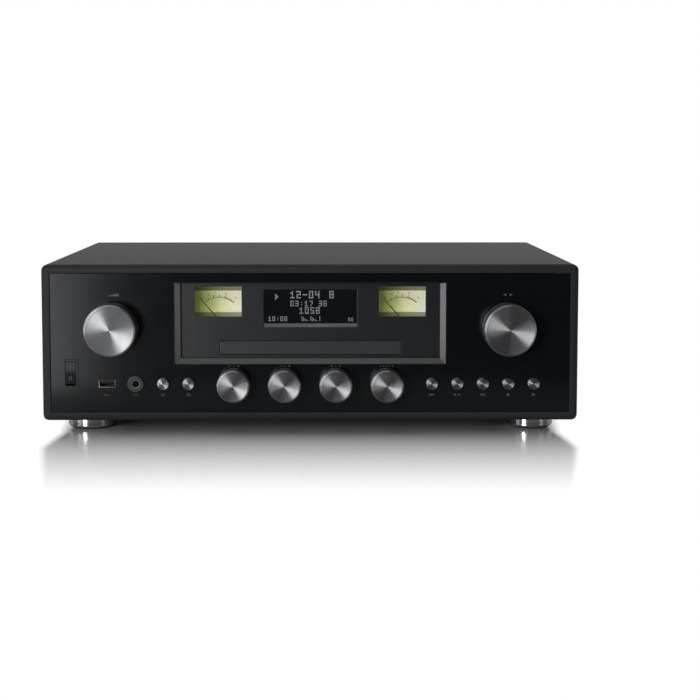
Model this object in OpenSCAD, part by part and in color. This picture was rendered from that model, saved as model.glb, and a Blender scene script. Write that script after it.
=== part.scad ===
// Table-top CD radio: a wooden cabinet with a recessed front window that holds two pointer meters,
// a display and a motor-driven disc tray. Millimetres, +X to the right, +Y to the back, +Z up.
// The origin lies on the table, under the middle of the whole outline.

/* [Cabinet] */
// Width of the cabinet
cab_w = 430; // [424:1:460]
// Height of the cabinet without its feet
cab_h = 126; // [125:1:140]
// Depth of the cabinet
cab_d = 290; // [280:1:340]
// Thickness of the cabinet boards
board_t = 7; // [6:0.5:8]
// Radius of the long outer edges
edge_r = 6; // [3:0.5:8]
// Radius of the front rim
rim_r = 5; // [2:0.5:6]
// Width of the wooden corner blocks
block_w = 12; // [10:0.5:13]

/* [Feet] */
// Radius of a foot
foot_r = 19; // [16:0.5:22]
// Height of the metal part of a foot
foot_h = 8; // [6.5:0.5:14]
// Radius of the rubber pad under a foot
pad_r = 16; // [12:0.5:17]
// Thickness of the rubber pad under a foot
pad_h = 1.5; // [1:0.1:3]
// Distance from a cabinet side to a foot's centre
foot_inset_x = 35; // [28:1:60]
// Distance from the cabinet's front or back to a foot's centre
foot_inset_y = 32; // [26:1:50]
// Radius of a foot screw's shank
foot_screw_r = 2; // [1.5:0.1:2.5]

/* [Panels] */
// Thickness of the front panel
panel_t = 3.5; // [2.5:0.1:4]
// Depth of the front panel's face behind the rim
panel_inset = 0.8; // [0.3:0.1:1.5]
// Gap round a panel that sits in the cabinet
panel_gap = 0.3; // [0.2:0.05:0.6]
// Thickness of the rear panel
rear_t = 2; // [1:0.1:3]
// Depth of the rear panel's face inside the cabinet's back edge
rear_inset = 3; // [1:0.5:6]
// Radius of a rear panel screw's shank
rear_screw_r = 1.5; // [1:0.1:2]
// Number of ventilation slots in the rear panel
vent_count = 22; // [8:1:26]

/* [Window] */
// Width of the window in the front panel
window_w = 218; // [212:1:224]
// Height of the window in the front panel
window_h = 66.3; // [65:0.1:67]
// Height of the window's centre above the cabinet's underside
window_z = 78.5; // [78:0.1:79]
// Width of the sloping border beside and below the window
bezel_border = 5; // [4:0.25:5.5]
// Width of the border above the window
bezel_top = 1; // [0.8:0.1:2]
// Depth of the sloping border
slope_depth = 3; // [2:0.25:4]
// Depth of the window panel behind the front panel's face
bezel_depth = 5.5; // [5:0.25:6.5]
// Width of the flange that clamps behind the panel
flange_w = 3.5; // [2:0.25:4]
// Thickness of the dark window panel
window_t = 2; // [1.6:0.1:3]
// Thickness of the clear panes
pane_t = 1.5; // [1:0.1:1.5]

/* [Meters and display] */
// Distance of a meter's centre from the middle
meter_x = 73.9; // [70:0.1:78]
// Width of a meter's pane
meter_w = 37.4; // [32:0.2:42]
// Height of a meter's pane
meter_h = 24; // [20:0.5:25]
// Gap between the meter panes and the border above them
meter_margin = 3; // [2:0.1:4]
// Gap between the display's pane and the border above it
display_margin = 5.2; // [4:0.1:6]
// Depth of a meter's can
can_l = 22; // [18:0.5:26]
// Wall of a meter's can
can_wall = 1.2; // [0.8:0.1:1.6]
// Depth of the dial behind the window panel
dial_depth = 7.5; // [6:0.25:10]
// Angle of a needle from upright at rest and at full swing
needle_swing = 42; // [30:1:45]
// Width of the display's pane
display_w = 75; // [60:1:82]
// Height of the display's pane
display_h = 31; // [26:0.5:31.5]
// Depth of the display module
display_l = 8; // [6:0.5:10]

/* [Knobs] */
// Distance of a large knob's centre from the panel's end
big_knob_inset = 50; // [46:0.5:58]
// Height of a large knob's centre above the cabinet's underside
big_knob_z = 75; // [70:1:80]
// Radius of a large knob
big_knob_r = 20.5; // [16:0.5:23]
// Length of a large knob
big_knob_l = 20; // [14:0.5:26]
// Height of the lower control row above the cabinet's underside
row_z = 30; // [28:0.5:32]
// Distance between two small knobs, as a share of the panel's width
knob_pitch_share = 0.098; // [0.09:0.001:0.104]
// Radius of a small knob
knob_r = 13; // [10:0.5:14]
// Length of a small knob
knob_l = 16; // [12:0.5:20]
// Gap between a knob and the front panel
knob_gap = 1; // [0.9:0.1:2]
// Radius of a control shaft
shaft_r = 3; // [2.5:0.1:3.2]
// Push travel of the tuning knob
push_travel = 0.8; // [0.4:0.1:0.8]

/* [Buttons and sockets] */
// Radius of a button
button_r = 4.75; // [3.5:0.25:6]
// Height of a button above the front panel
button_out = 3.2; // [2:0.2:5]
// Push travel of a button
button_travel = 0.8; // [0.4:0.1:1]
// Distance between two buttons
button_pitch = 20.4; // [18:0.2:20.8]
// Distance of the outermost left button from the panel's end
left_button_inset = 90; // [88:0.5:92]
// Distance of the outermost right button from the panel's end
right_button_inset = 28.8; // [26:0.2:30]
// Distance of the headphone socket from the panel's end
phone_inset = 68; // [66:0.5:70]
// Radius of the headphone socket's bore
phone_bore_r = 3.25; // [3.2:0.01:3.4]
// Depth of the headphone socket's bore
phone_bore_l = 31; // [29:0.5:34]
// Distance of the front data socket from the panel's end
usb_inset = 45; // [43:0.5:47]
// Distance of the power switch from the panel's end
rocker_inset = 16; // [15:0.5:18]
// Height of the power switch above the cabinet's underside
rocker_z = 38.5; // [37:0.5:44]
// Length of the power rocker
rocker_h = 17.8; // [14:0.2:18.6]
// Width of the power rocker
rocker_w = 8.2; // [7:0.2:8.6]
// Swing of the power rocker between off and on
rocker_swing = 14; // [8:1:16]

/* [Disc tray] */
// Height of the tray front's centre above the cabinet's underside
tray_z = 58.25; // [57.75:0.25:59]
// Width of the tray front
tray_front_w = 145; // [143:0.5:150]
// Height of the tray front
tray_front_h = 10.7; // [10.5:0.1:11.2]
// Thickness of the tray front
tray_front_t = 3; // [2:0.25:4]
// Gap round the tray front
tray_gap = 0.35; // [0.3:0.05:0.6]
// Width of the tray
tray_w = 138; // [134:0.5:140]
// Length of the tray
tray_l = 186; // [180:1:195]
// Travel of the tray
tray_travel = 140; // [120:1:145]
// Radius of the disc well
well_r = 60.75; // [60.5:0.25:62]
// Depth of the disc well
well_depth = 4; // [3:0.25:4.25]
// Thickness of the tray under the disc
tray_floor_t = 2.4; // [2:0.1:2.6]
// Radius of the inner well for small discs
small_well_r = 40.5; // [40.25:0.25:41]
// Half width of the slot for the pickup
tray_slot_r = 19; // [16:0.5:22]

/* [Disc drive] */
// Tooth module of the tray rack
rack_module = 1; // [0.9:0.05:1.1]
// Height of the tray rack's teeth
rack_h = 3.2; // [2.6:0.1:3.2]
// Teeth of the pinion on the rack
tray_pinion_teeth = 16; // [14:2:16]
// Teeth of the wheel under the rack pinion
tray_wheel_teeth = 30; // [26:2:30]
// Teeth of the pinion on the belt pulley
pulley_pinion_teeth = 14; // [14:2:16]
// Radius of the large belt pulley
pulley_r = 14; // [11:0.5:14]
// Radius of the motor's belt pulley
motor_pulley_r = 4; // [3:0.25:5]
// Thickness of the drive belt
belt_t = 1.2; // [0.8:0.1:1.4]
// Radius of the disc turntable
turntable_r = 14; // [12:0.25:14.5]
// Swing of the pickup frame when it drops away from the disc
traverse_swing = 5; // [3:0.5:5]
// Travel of the pickup along its rods
sled_travel = 36; // [30:1:36]
// Tooth module of the pickup rack
feed_module = 0.6; // [0.5:0.05:0.6]
// Teeth of the pickup drive gear
feed_teeth = 14; // [14:2:16]
// Radius of the pickup's guide rods
rod_r = 1.5; // [1:0.1:1.6]

/* [Electronics] */
// Radius of the ring transformer
trafo_r = 42; // [34:0.5:46]
// Height of the ring transformer
trafo_h = 38; // [28:0.5:46]
// Gap between the main circuit board and what stands beside it
main_gap = 11.5; // [8:0.5:16]
// Distance of the main circuit board from the cabinet's front and back, together
main_ends = 95; // [85:1:120]
// Thickness of every circuit board
pcb_t = 1.6; // [1.2:0.1:2]
// Number of fins on the heat sink
fin_count = 12; // [6:1:14]
// Radius of a speaker terminal
post_r = 6.5; // [5.5:0.25:7.5]
// Length of a speaker terminal
post_l = 14; // [11:0.5:18]
// Radius of a speaker terminal's plug bore
plug_bore_r = 2.05; // [2:0.01:2.1]

/* [Hidden] */

$fn = 64;
eps = 0.01;

// Clearances that several pieces share
run_gap = 0.05;    // a shaft in its bore
slip_gap = 0.2;    // a button or bush in its hole
rest_gap = 0.3;    // a moving piece beside a fixed one
wide_gap = 1;      // a moving piece that must stay well clear

// Heights
z0 = pad_h + foot_h;
floor_z = z0 + board_t;
roof_z = z0 + cab_h - board_t;
in_w = cab_w - 2 * board_t;
mid_z = (floor_z + roof_z) / 2;
row_abs_z = z0 + row_z;
big_abs_z = z0 + big_knob_z;
end_x = in_w / 2;
big_knob_x = end_x - big_knob_inset;
knob_pitch = knob_pitch_share * in_w;
phone_x = end_x - phone_inset;
usb_x = end_x - usb_inset;
rocker_x = end_x - rocker_inset;

// Depths, counted from the front rim
panel_back = panel_inset + panel_t;
bezel_back = panel_inset + bezel_depth;
window_back = bezel_back + window_t;
rear_face = cab_d - rear_inset;
rear_in = rear_face - rear_t;
socket_flange = 1.5;
knob_face = panel_inset - knob_gap - big_knob_l;
front_y = -(knob_face + rear_face + socket_flange + post_l) / 2;

// Window and what lies behind it
window_abs_z = z0 + window_z;
window_in_w = window_w - 2 * bezel_border;
window_in_h = window_h - bezel_border - bezel_top;
window_in_z = window_abs_z + (bezel_border - bezel_top) / 2;
window_in_top = window_in_z + window_in_h / 2;
meter_abs_z = window_in_top - meter_margin - meter_h / 2;
display_abs_z = window_in_top - display_margin - display_h / 2;
pane_gap = 0.1;
can_side = 3;
can_below = 6.5;
can_w = meter_w + 2 * can_side;
can_h = meter_h + can_side + can_below;
can_z = meter_abs_z - meter_h / 2 - can_below + can_h / 2;
pivot_z = meter_abs_z - meter_h / 2 - 3;
pivot_r = 0.75;
dial_d = window_back + dial_depth;
dial_t = 1;
needle_l = meter_h - 1.5;
needle_d = dial_d - 2.4;
needle_t = 0.5;
display_rim = 3;
screen_t = 1;

// Controls
board_d = panel_back + 10.7;
board_low = floor_z + block_w + 0.5;
pot_w = 11;
bush_r = shaft_r + 0.6;
bush_out = 2;
shaft_end = board_d - 2.3;
switch_h = 3.5;
switch_w = 6;
button_flange_t = 1.2;
button_stem_end = board_d - switch_h - 0.5 - button_travel - slip_gap;
phone_w = 15;
phone_ring_r = 7;
phone_ring_t = 1.5;
phone_bush_r = 5;
phone_back = 3;
usb_w = 13.2;
usb_h = 5.8;
usb_wall = 0.35;
usb_back = 2;
usb_tongue = [11.1, 1.9];
rocker_gap = 0.9;
switch_wall = 0.8;
switch_rim = 1;
switch_l = 15;
switch_in_w = rocker_w + 2 * slip_gap;
switch_in_h = rocker_h + 2 * rocker_gap;
rocker_pin_r = 1.2;
rocker_pivot_d = panel_inset + 3.7;
rocker_abs_z = z0 + rocker_z;

// Disc tray
tray_abs_z = z0 + tray_z;
slot_low = tray_abs_z - tray_front_h / 2 - tray_gap;
rack_low = slot_low + 0.75;
tray_low = rack_low + rack_h;
well_z = tray_low + tray_floor_t;
tray_top = well_z + well_depth;
tray_d = bezel_back + tray_front_t;
well_margin = 5;
disc_d = tray_d + well_margin + well_r;
small_well_depth = 0.8;

// Gears and pulleys
gear_addendum = 0.8;
gear_dedendum = 1.1;
pressure_angle = 20;
backlash = 0.24;
loader_d = board_d + pcb_t + 3.4;
tray_pinion_r = rack_module * tray_pinion_teeth / 2;
tray_wheel_r = rack_module * tray_wheel_teeth / 2;
pulley_pinion_r = rack_module * pulley_pinion_teeth / 2;
gear_back = 20;
tray_gear_d = loader_d + gear_back;
rack_back_x = -tray_w / 2 + 4.5;
rack_pitch_x = rack_back_x + 4;
tray_gear_x = rack_pitch_x + tray_pinion_r;
pulley_x = tray_gear_x + tray_wheel_r + pulley_pinion_r;
belt_span = 38.5;
motor_x = pulley_x + belt_span;
axle_r = 2;
axle_bore_r = axle_r + run_gap;
wheel_t = 3.5;
wheel_z = rack_low - 7.3;
pulley_t = 4.8;
pulley_z = wheel_z - 9;
belt_h = 2;
belt_z = pulley_z + pulley_t / 2;
belt_gap = 0.15;
pulley_lip = 1.5;
motor_shaft_r = 1;

// Loader chassis
wall_t = 4.5;
loader_in_w = tray_w + 3;
loader_w = loader_in_w + 2 * wall_t;
loader_l = tray_l + 9;
shelf_t = 3;
shelf_z = floor_z + 17.5;
ledge_h = 2;
wall_top = tray_top + rest_gap + ledge_h + 2.3;
well_half_w = 44;
shelf_well_back = 14;
leg_inset = 10;
rack_lead = 10;

// Pickup frame
frame_t = 2;
frame_z = rack_low - 2.8;
frame_w = 80;
frame_front = disc_d - 17;
frame_l = 108;
hinge_d = frame_front + frame_l + 4;
hinge_z = frame_z - 2;
hinge_r = 2;
hinge_post_w = 6;
motor_r = 11;
motor_h = 14;
disc_z = well_z + 1.65;
lens_start = 23;
sled_d = disc_d + lens_start;
rod_x = 24;
rod_z = frame_z - 2.5;
rod_front = disc_d + 5;
rod_back = sled_d + sled_travel + 21;
lug_l = 4;
sled_front = 9;
sled_back = 14;
sled_low = frame_z - 5.2;
feed_r = feed_module * feed_teeth / 2;
feed_rack_x = 17;
feed_x = feed_rack_x + feed_r;
feed_d = disc_d + 43;
feed_z = sled_low - 3.3;
feed_t = 3;
feed_motor_r = 8;
feed_motor_h = 13;
feed_shelf_t = 2;

// Clamp over the disc
bridge_w = 42;
bridge_t = 2;
clamp_r = turntable_r + 0.6;
clamp_gap = 0.6;
clamp_flange_r = clamp_r + 3.4;
boss_r = 7.3;

// Electronics
trafo_gap = 24;
trafo_x = -(end_x - trafo_gap - trafo_r);
trafo_back = 46;
trafo_d = cab_d - trafo_back - trafo_r;
trafo_hole_r = 15;
main_w = end_x - loader_w / 2 - 2 * main_gap;
main_x = (end_x + loader_w / 2) / 2;
main_d = 60;
main_l = cab_d - main_ends;
spacer_h = 6;
spacer_r = 3;
main_top = floor_z + spacer_h + pcb_t;
sink_inset = 9;
sink_w = main_w - 2 * sink_inset;
sink_l = 30;
sink_h = 50;
sink_end = 4;
sink_d = main_d + main_l - sink_l - sink_end;
inlet_inset = 43;
inlet_x = inlet_inset - end_x;
inlet_up = 29;
inlet_z = floor_z + inlet_up;
inlet_w = 30;
inlet_h = 18;
inlet_depth = 11;
pin_r = 1.2;
pin_pitch = 8.6;
post_inset = 70;
post_x = end_x - post_inset;
post_up = 30;
post_z = floor_z + post_up;
post_pitch = 19;
line_step = 72;
line_x = post_x - line_step;
line_up = 32;
line_z = floor_z + line_up;
line_pitch = 14;
line_r = 4.2;
line_l = 8.5;
aerial_step = 46;
aerial_x = line_x - aerial_step;
aerial_r = 4.75;
aerial_l = 9;
plug_bore_l = post_l - 1;

// Positions that several pieces share
feet_xy = [for (x = [-1, 1], d = [foot_inset_y, cab_d - foot_inset_y]) [x * (cab_w / 2 - foot_inset_x), d]];
small_knob_x = [for (i = [-1.5 : 1.5]) i * knob_pitch];
left_button_x = [for (i = [0, 1]) left_button_inset + i * button_pitch - end_x];
right_button_x = [for (i = [4 : -1 : 0]) end_x - right_button_inset - i * button_pitch];
button_xs = concat(left_button_x, right_button_x);
rear_screws = [for (x = [-1, 1], z = [floor_z + 14, mid_z, roof_z - 14]) [x * (in_w - block_w) / 2, z]];

// Colours
black_vinyl = [0.10, 0.10, 0.11];
panel_black = [0.07, 0.08, 0.09];
gloss_black = [0.03, 0.03, 0.04];
smoke = [0.14, 0.15, 0.16];
silver = [0.78, 0.79, 0.80];
steel = [0.60, 0.61, 0.63];
rubber = [0.05, 0.05, 0.05];
wood = [0.55, 0.42, 0.28];
meter_yellow = [0.93, 0.91, 0.55];
pcb_green = [0.10, 0.32, 0.18];
copper = [0.65, 0.36, 0.16];
nylon = [0.90, 0.89, 0.84];

// Places its children at x, depth d behind the front rim, and height z
module place(x, d, z) translate([x, front_y + d, z]) children();

// Slab from depth d to d + t, of a shape drawn as the front view shows it
module front_slab(d, t) translate([0, front_y + d + t, 0]) rotate([90, 0, 0]) linear_extrude(t) children();

// Slab from height z to z + t, of a shape drawn in x and depth
module flat_slab(z, t) translate([0, front_y, z]) linear_extrude(t) children();

// Rods along the three axes, by centre, start, length and radius
module rod_x(x, d, z, l, r) place(x, d, z) rotate([0, 90, 0]) cylinder(h = l, r = r);
module rod_y(x, d, z, l, r) place(x, d, z) rotate([-90, 0, 0]) cylinder(h = l, r = r);
module rod_z(x, d, z, l, r) place(x, d, z) cylinder(h = l, r = r);

// Block between two corners given as [x, depth, z]
module block(low, high) place(low[0], low[1], low[2]) cube(high - low);

// Rectangle in the front view, by its centre
module front_rect(x, z, w, h) translate([x - w / 2, z - h / 2]) square([w, h]);

// Rectangle with round corners, centred
module round_rect(w, h, r) {
    square([w - 2 * r, h], center = true);
    square([w, h - 2 * r], center = true);
    for (x = [-1, 1], y = [-1, 1]) translate([x * (w / 2 - r), y * (h / 2 - r)]) circle(r);
}

// Solid of revolution about a depth axis: points are [radius, depth from the piece's front]
module turned_y(x, d, z, points) place(x, d, z) rotate([-90, 0, 0]) rotate_extrude() polygon(points);

// Solid of revolution about an upright axis: points are [radius, height]
module turned_z(x, d, z, points) place(x, d, z) rotate_extrude() polygon(points);

// Involute gear outline: the angle of the flank at radius r, from the tooth's middle
function involute(a) = tan(a) * 180 / PI - a;
function flank(m, teeth, r) =
    let (
        pitch_r = m * teeth / 2,
        base_r = pitch_r * cos(pressure_angle),
        half = (90 - backlash / m * 90 / PI) / teeth
    ) half + involute(pressure_angle) - involute(acos(min(1, base_r / max(r, base_r))));
module gear_outline(m, teeth) {
    pitch_r = m * teeth / 2;
    tip_r = pitch_r + gear_addendum * m;
    root_r = pitch_r - gear_dedendum * m;
    steps = 4;
    radii = [for (i = [0 : steps]) root_r + (tip_r - root_r) * i / steps];
    polygon([for (i = [0 : teeth - 1], side = [-1, 1], k = [0 : steps])
        let (
            r = radii[side < 0 ? k : steps - k],
            a = i * 360 / teeth + side * flank(m, teeth, r)
        ) r * [cos(a), sin(a)]]);
}

// Rack outline in x and depth: teeth point to +x, with a gap opposite depth middle
module rack_outline(m, back_x, pitch_x, middle, first, last) {
    step = PI * m;
    lean = tan(pressure_angle) * m;
    half = step / 4 - backlash / 4;
    root = pitch_x - gear_dedendum * m;
    tip = pitch_x + gear_addendum * m;
    teeth = [for (k = [ceil((first - middle) / step) : floor((last - middle) / step) - 1]) middle + (k + 0.5) * step];
    polygon(concat(
        [[back_x, first]],
        [[root, first]],
        [for (c = teeth, e = [
            [root, -half - gear_dedendum * lean],
            [tip, -half + gear_addendum * lean],
            [tip, half - gear_addendum * lean],
            [root, half + gear_dedendum * lean]]) [e[0], c + e[1]]],
        [[root, last]],
        [[back_x, last]]));
}

// Outside of the cabinet, with its long edges and its front rim rounded
module rim_profile() {
    translate([rim_r, 0]) square([cab_d - rim_r, cab_h]);
    translate([0, rim_r]) square([cab_d, cab_h - 2 * rim_r]);
    for (z = [rim_r, cab_h - rim_r]) translate([rim_r, z]) circle(rim_r);
}
module rim_plan() {
    translate([-cab_w / 2, rim_r]) square([cab_w, cab_d - rim_r]);
    translate([rim_r - cab_w / 2, 0]) square([cab_w - 2 * rim_r, cab_d]);
    for (x = [-1, 1]) translate([x * (cab_w / 2 - rim_r), rim_r]) circle(rim_r);
}
module cabinet_outside() intersection() {
    front_slab(0, cab_d) translate([0, z0 + cab_h / 2]) round_rect(cab_w, cab_h, edge_r);
    place(-cab_w / 2, 0, z0) rotate([90, 0, 90]) linear_extrude(cab_w) rim_profile();
    flat_slab(z0, cab_h) rim_plan();
}

// Top and both sides of the cabinet, one wrapped wooden shell
module cabinet_cover() color(black_vinyl) difference() {
    cabinet_outside();
    block([-in_w / 2, -1, z0 - 1], [in_w / 2, cab_d + 1, roof_z]);
}

// Bottom board, let in between the sides, with a blind hole for each foot screw
module base_board() color(black_vinyl) difference() {
    intersection() {
        cabinet_outside();
        block([-in_w / 2, -1, z0], [in_w / 2, cab_d + 1, floor_z]);
    }
    for (p = feet_xy) rod_z(p[0], p[1], z0 - 1, board_t - 1, foot_screw_r + run_gap);
}

// Glued wooden blocks that the two panels are screwed to
module corner_blocks() color(wood) {
    for (s = [-1, 1]) {
        difference() {
            place(s * (in_w - block_w) / 2, rear_in - block_w / 2, mid_z)
                cube([block_w, block_w, roof_z - floor_z], center = true);
            for (p = rear_screws) rod_y(p[0], rear_in - block_w + 2, p[1], block_w, rear_screw_r + run_gap);
        }
        for (z = [floor_z + block_w / 2, roof_z - block_w / 2])
            place(s * (in_w - block_w) / 2, panel_back + block_w / 2, z) cube(block_w, center = true);
    }
}

// Steel back plate with its sockets' cut-outs and ventilation slots
vent_pitch = 8;
vent_w = 3;
vent_h = 24;
module rear_panel() color(steel * 0.3) difference() {
    front_slab(rear_in, rear_t)
        front_rect(0, mid_z, in_w - 2 * panel_gap, roof_z - floor_z - 2 * panel_gap);
    for (i = [0 : vent_count - 1]) place((i - (vent_count - 1) / 2) * vent_pitch, rear_in, roof_z - 26)
        cube([vent_w, 4 * rear_t, vent_h], center = true);
    for (p = rear_screws) rod_y(p[0], rear_in - 1, p[1], rear_t + 2, rear_screw_r + run_gap);
    front_slab(rear_in - 1, rear_t + 2) {
        front_rect(inlet_x, inlet_z, inlet_w - 6 + 2 * slip_gap, inlet_h - 4 + 2 * slip_gap);
        front_rect(line_x, line_z, 2 * line_pitch - 3 + 2 * slip_gap, 2 * line_pitch - 3 + 2 * slip_gap);
        front_rect(aerial_x, line_z, 2 * aerial_r + 1 + 2 * slip_gap, 2 * aerial_r + 1 + 2 * slip_gap);
        front_rect(post_x, post_z, 4 * post_pitch - 7 + 2 * slip_gap, 2 * post_r + 2 * slip_gap);
    }
}

// Front panel, let into the rim
module front_panel() color(panel_black) difference() {
    front_slab(panel_inset, panel_t)
        front_rect(0, mid_z, in_w - 2 * panel_gap, roof_z - floor_z - 2 * panel_gap);
    front_slab(panel_inset - 1, panel_t + 2) {
        front_rect(0, window_abs_z, window_w, window_h);
        front_rect(-usb_x, row_abs_z, usb_w + 2 * slip_gap, usb_h + 2 * slip_gap);
        front_rect(-rocker_x, rocker_abs_z, switch_in_w + 2 * switch_wall + 2 * slip_gap,
            switch_in_h + 2 * switch_wall + 2 * slip_gap);
    }
    for (x = [-1, 1]) rod_y(x * big_knob_x, panel_inset - 1, big_abs_z, panel_t + 2, bush_r + slip_gap);
    for (x = small_knob_x) rod_y(x, panel_inset - 1, row_abs_z, panel_t + 2, bush_r + slip_gap);
    for (x = button_xs) rod_y(x, panel_inset - 1, row_abs_z, panel_t + 2, button_r + slip_gap);
    rod_y(-phone_x, panel_inset - 1, row_abs_z, panel_t + 2, phone_bush_r + slip_gap);
}

// Sloping frame of the window, with a flange behind the panel
bezel_lip = 0.6;
module window_bezel() color(gloss_black) difference() {
    union() {
        front_slab(panel_inset, bezel_depth)
            front_rect(0, window_abs_z, window_w - 2 * slip_gap, window_h - 2 * slip_gap);
        front_slab(panel_back, bezel_back - panel_back)
            front_rect(0, window_abs_z, window_w + 2 * flange_w, window_h + 2 * flange_w);
    }
    hull() {
        front_slab(panel_inset - eps, eps)
            front_rect(0, window_abs_z, window_w - 2 * bezel_lip, window_h - 2 * bezel_lip);
        front_slab(panel_inset + slope_depth, eps) front_rect(0, window_in_z, window_in_w, window_in_h);
    }
    front_slab(panel_inset + slope_depth, bezel_depth) front_rect(0, window_in_z, window_in_w, window_in_h);
}

// Dark panel at the bottom of the window, cut out for the panes and the tray
module window_panel() color(smoke) difference() {
    front_slab(bezel_back, window_t)
        front_rect(0, window_abs_z, window_w + 2 * flange_w, window_h + 2 * flange_w);
    front_slab(bezel_back - 1, window_t + 2) {
        for (x = [-1, 1]) front_rect(x * meter_x, meter_abs_z, meter_w, meter_h);
        front_rect(0, display_abs_z, display_w, display_h);
        front_rect(0, tray_abs_z, tray_front_w + 2 * tray_gap, tray_front_h + 2 * tray_gap);
    }
}

// Clear panes over the meters and the display
module window_panes() color([0.75, 0.80, 0.80]) front_slab(window_back - pane_t, pane_t) {
    for (x = [-1, 1]) front_rect(x * meter_x, meter_abs_z, meter_w - 2 * pane_gap, meter_h - 2 * pane_gap);
    front_rect(0, display_abs_z, display_w - 2 * pane_gap, display_h - 2 * pane_gap);
}

// Turned metal feet, bored for a screw from below
foot_head_r = 4.5;
foot_head_h = 2;
foot_step = 1.2;
foot_web = 3;
module feet() color(silver) for (p = feet_xy) turned_z(p[0], p[1], pad_h, [
    [foot_screw_r + run_gap, foot_h],
    [foot_screw_r + run_gap, foot_h - foot_web],
    [foot_head_r + 1, foot_h - foot_web],
    [foot_head_r + 1, 0],
    [foot_r - foot_step, 0],
    [foot_r, foot_step],
    [foot_r, foot_h - 2 * foot_step],
    [foot_r - foot_step, foot_h - 2 * foot_step],
    [foot_r - foot_step, foot_h]]);

// Rubber rings under the feet
module foot_pads() color(rubber) for (p = feet_xy) difference() {
    rod_z(p[0], p[1], 0, pad_h, pad_r);
    rod_z(p[0], p[1], -1, pad_h + 2, foot_head_r + 1);
}

// Screws of the feet and of the rear panel
rear_head_r = 3;
rear_head_h = 1.8;
module case_screws() color(steel) {
    for (p = feet_xy) turned_z(p[0], p[1], pad_h + foot_h - foot_web, [
        [0, board_t - 3 + foot_web],
        [foot_screw_r, board_t - 3 + foot_web],
        [foot_screw_r, 0],
        [foot_head_r, 0],
        [foot_head_r, -foot_head_h],
        [0, -foot_head_h]]);
    for (p = rear_screws) difference() {
        turned_y(p[0], rear_in - block_w + 3, p[1], [
            [0, 0],
            [rear_screw_r, 0],
            [rear_screw_r, block_w - 3 + rear_t],
            [rear_head_r, block_w - 3 + rear_t],
            [rear_head_r - 0.6, block_w - 3 + rear_t + rear_head_h],
            [0, block_w - 3 + rear_t + rear_head_h]]);
        for (a = [0, 90]) place(p[0], rear_face + rear_head_h, p[1]) rotate([0, a, 0])
            cube([2.4 * rear_screw_r, 2, 0.8], center = true);
    }
}

// Meter cans, open at the front, each with the pin that its needle turns on
module meter_cans() color(smoke) for (s = [-1, 1]) {
    difference() {
        front_slab(window_back, can_l) front_rect(s * meter_x, can_z, can_w, can_h);
        front_slab(window_back - 1, can_l + 1 - can_wall)
            front_rect(s * meter_x, can_z, can_w - 2 * can_wall, can_h - 2 * can_wall);
    }
    rod_y(s * meter_x, needle_d - 1, pivot_z, window_back + can_l - needle_d, pivot_r);
}

// Lit dial plates inside the cans
module meter_dials() color(meter_yellow) difference() {
    front_slab(dial_d, dial_t) for (s = [-1, 1]) front_rect(s * meter_x, can_z,
        can_w - 2 * can_wall - 2 * pane_gap, can_h - 2 * can_wall - 2 * pane_gap);
    for (s = [-1, 1]) rod_y(s * meter_x, dial_d - 1, pivot_z, dial_t + 2, pivot_r + slip_gap);
}

// Needle with its hub, leaning to the left at rest
needle_w = 0.6;
needle_hub_r = 2;
needle_hub_l = 1.4;
module meter_needle(s) color("black") place(s * meter_x, needle_d, pivot_z) rotate([0, -needle_swing, 0])
    difference() {
        union() {
            rotate([-90, 0, 0]) cylinder(h = needle_hub_l, r = needle_hub_r);
            translate([-needle_w / 2, 0, 0]) cube([needle_w, needle_t, needle_l]);
        }
        translate([0, -1, 0]) rotate([-90, 0, 0]) cylinder(h = needle_hub_l + 2, r = pivot_r + run_gap);
    }
module meter_needle_left() meter_needle(-1);
module meter_needle_right() meter_needle(1);

// Display housing, with a recess for the screen
module display_module() color(smoke) difference() {
    front_slab(window_back, display_l)
        front_rect(0, display_abs_z, display_w + 2 * display_rim, display_h + 2 * display_rim);
    front_slab(window_back - 1, screen_t + 1)
        front_rect(0, display_abs_z, display_w + 2 * pane_gap, display_h + 2 * pane_gap);
}
module display_screen() color(gloss_black) front_slab(window_back, screen_t)
    front_rect(0, display_abs_z, display_w, display_h);

// Upright board behind the controls, with wings beside the window
board_wing = 6;
board_arm_x = window_w / 2 + flange_w + board_wing;
board_top_z = big_abs_z + 18;
board_mid_z = row_abs_z + 12;
board_left = -(rocker_x - 10);
board_right = in_w / 2 - 6;
module control_board() color(pcb_green) difference() {
    front_slab(board_d, pcb_t) polygon([
        [board_left, board_low],
        [board_right, board_low],
        [board_right, board_top_z],
        [board_arm_x, board_top_z],
        [board_arm_x, board_mid_z],
        [-board_arm_x, board_mid_z],
        [-board_arm_x, board_top_z],
        [board_left, board_top_z]]);
    front_slab(board_d - 1, pcb_t + 2)
        front_rect(-phone_x, row_abs_z, phone_w + 2 * rest_gap, phone_w + 2 * rest_gap);
}

// Bodies of the volume and tone controls, the selector and the tuning encoder
module control_pot(x, z, w) difference() {
    union() {
        front_slab(panel_back, board_d - panel_back) front_rect(x, z, w, w);
        rod_y(x, panel_inset - bush_out, z, bush_out + panel_t + 1, bush_r);
    }
    rod_y(x, panel_inset - bush_out - 1, z, shaft_end + wide_gap + 1 + bush_out - panel_inset, shaft_r + run_gap);
}
module control_pots() color(steel) {
    for (x = small_knob_x) control_pot(x, row_abs_z, pot_w);
    for (s = [-1, 1]) control_pot(s * big_knob_x, big_abs_z, 1.5 * pot_w);
}

// Push switches on the control board, one behind each button
module tact_switches() color(gloss_black) for (x = button_xs) {
    front_slab(board_d - switch_h, switch_h) front_rect(x, row_abs_z, switch_w, switch_w);
    rod_y(x, board_d - switch_h - 0.5, row_abs_z, 1, 1.75);
}

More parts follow.
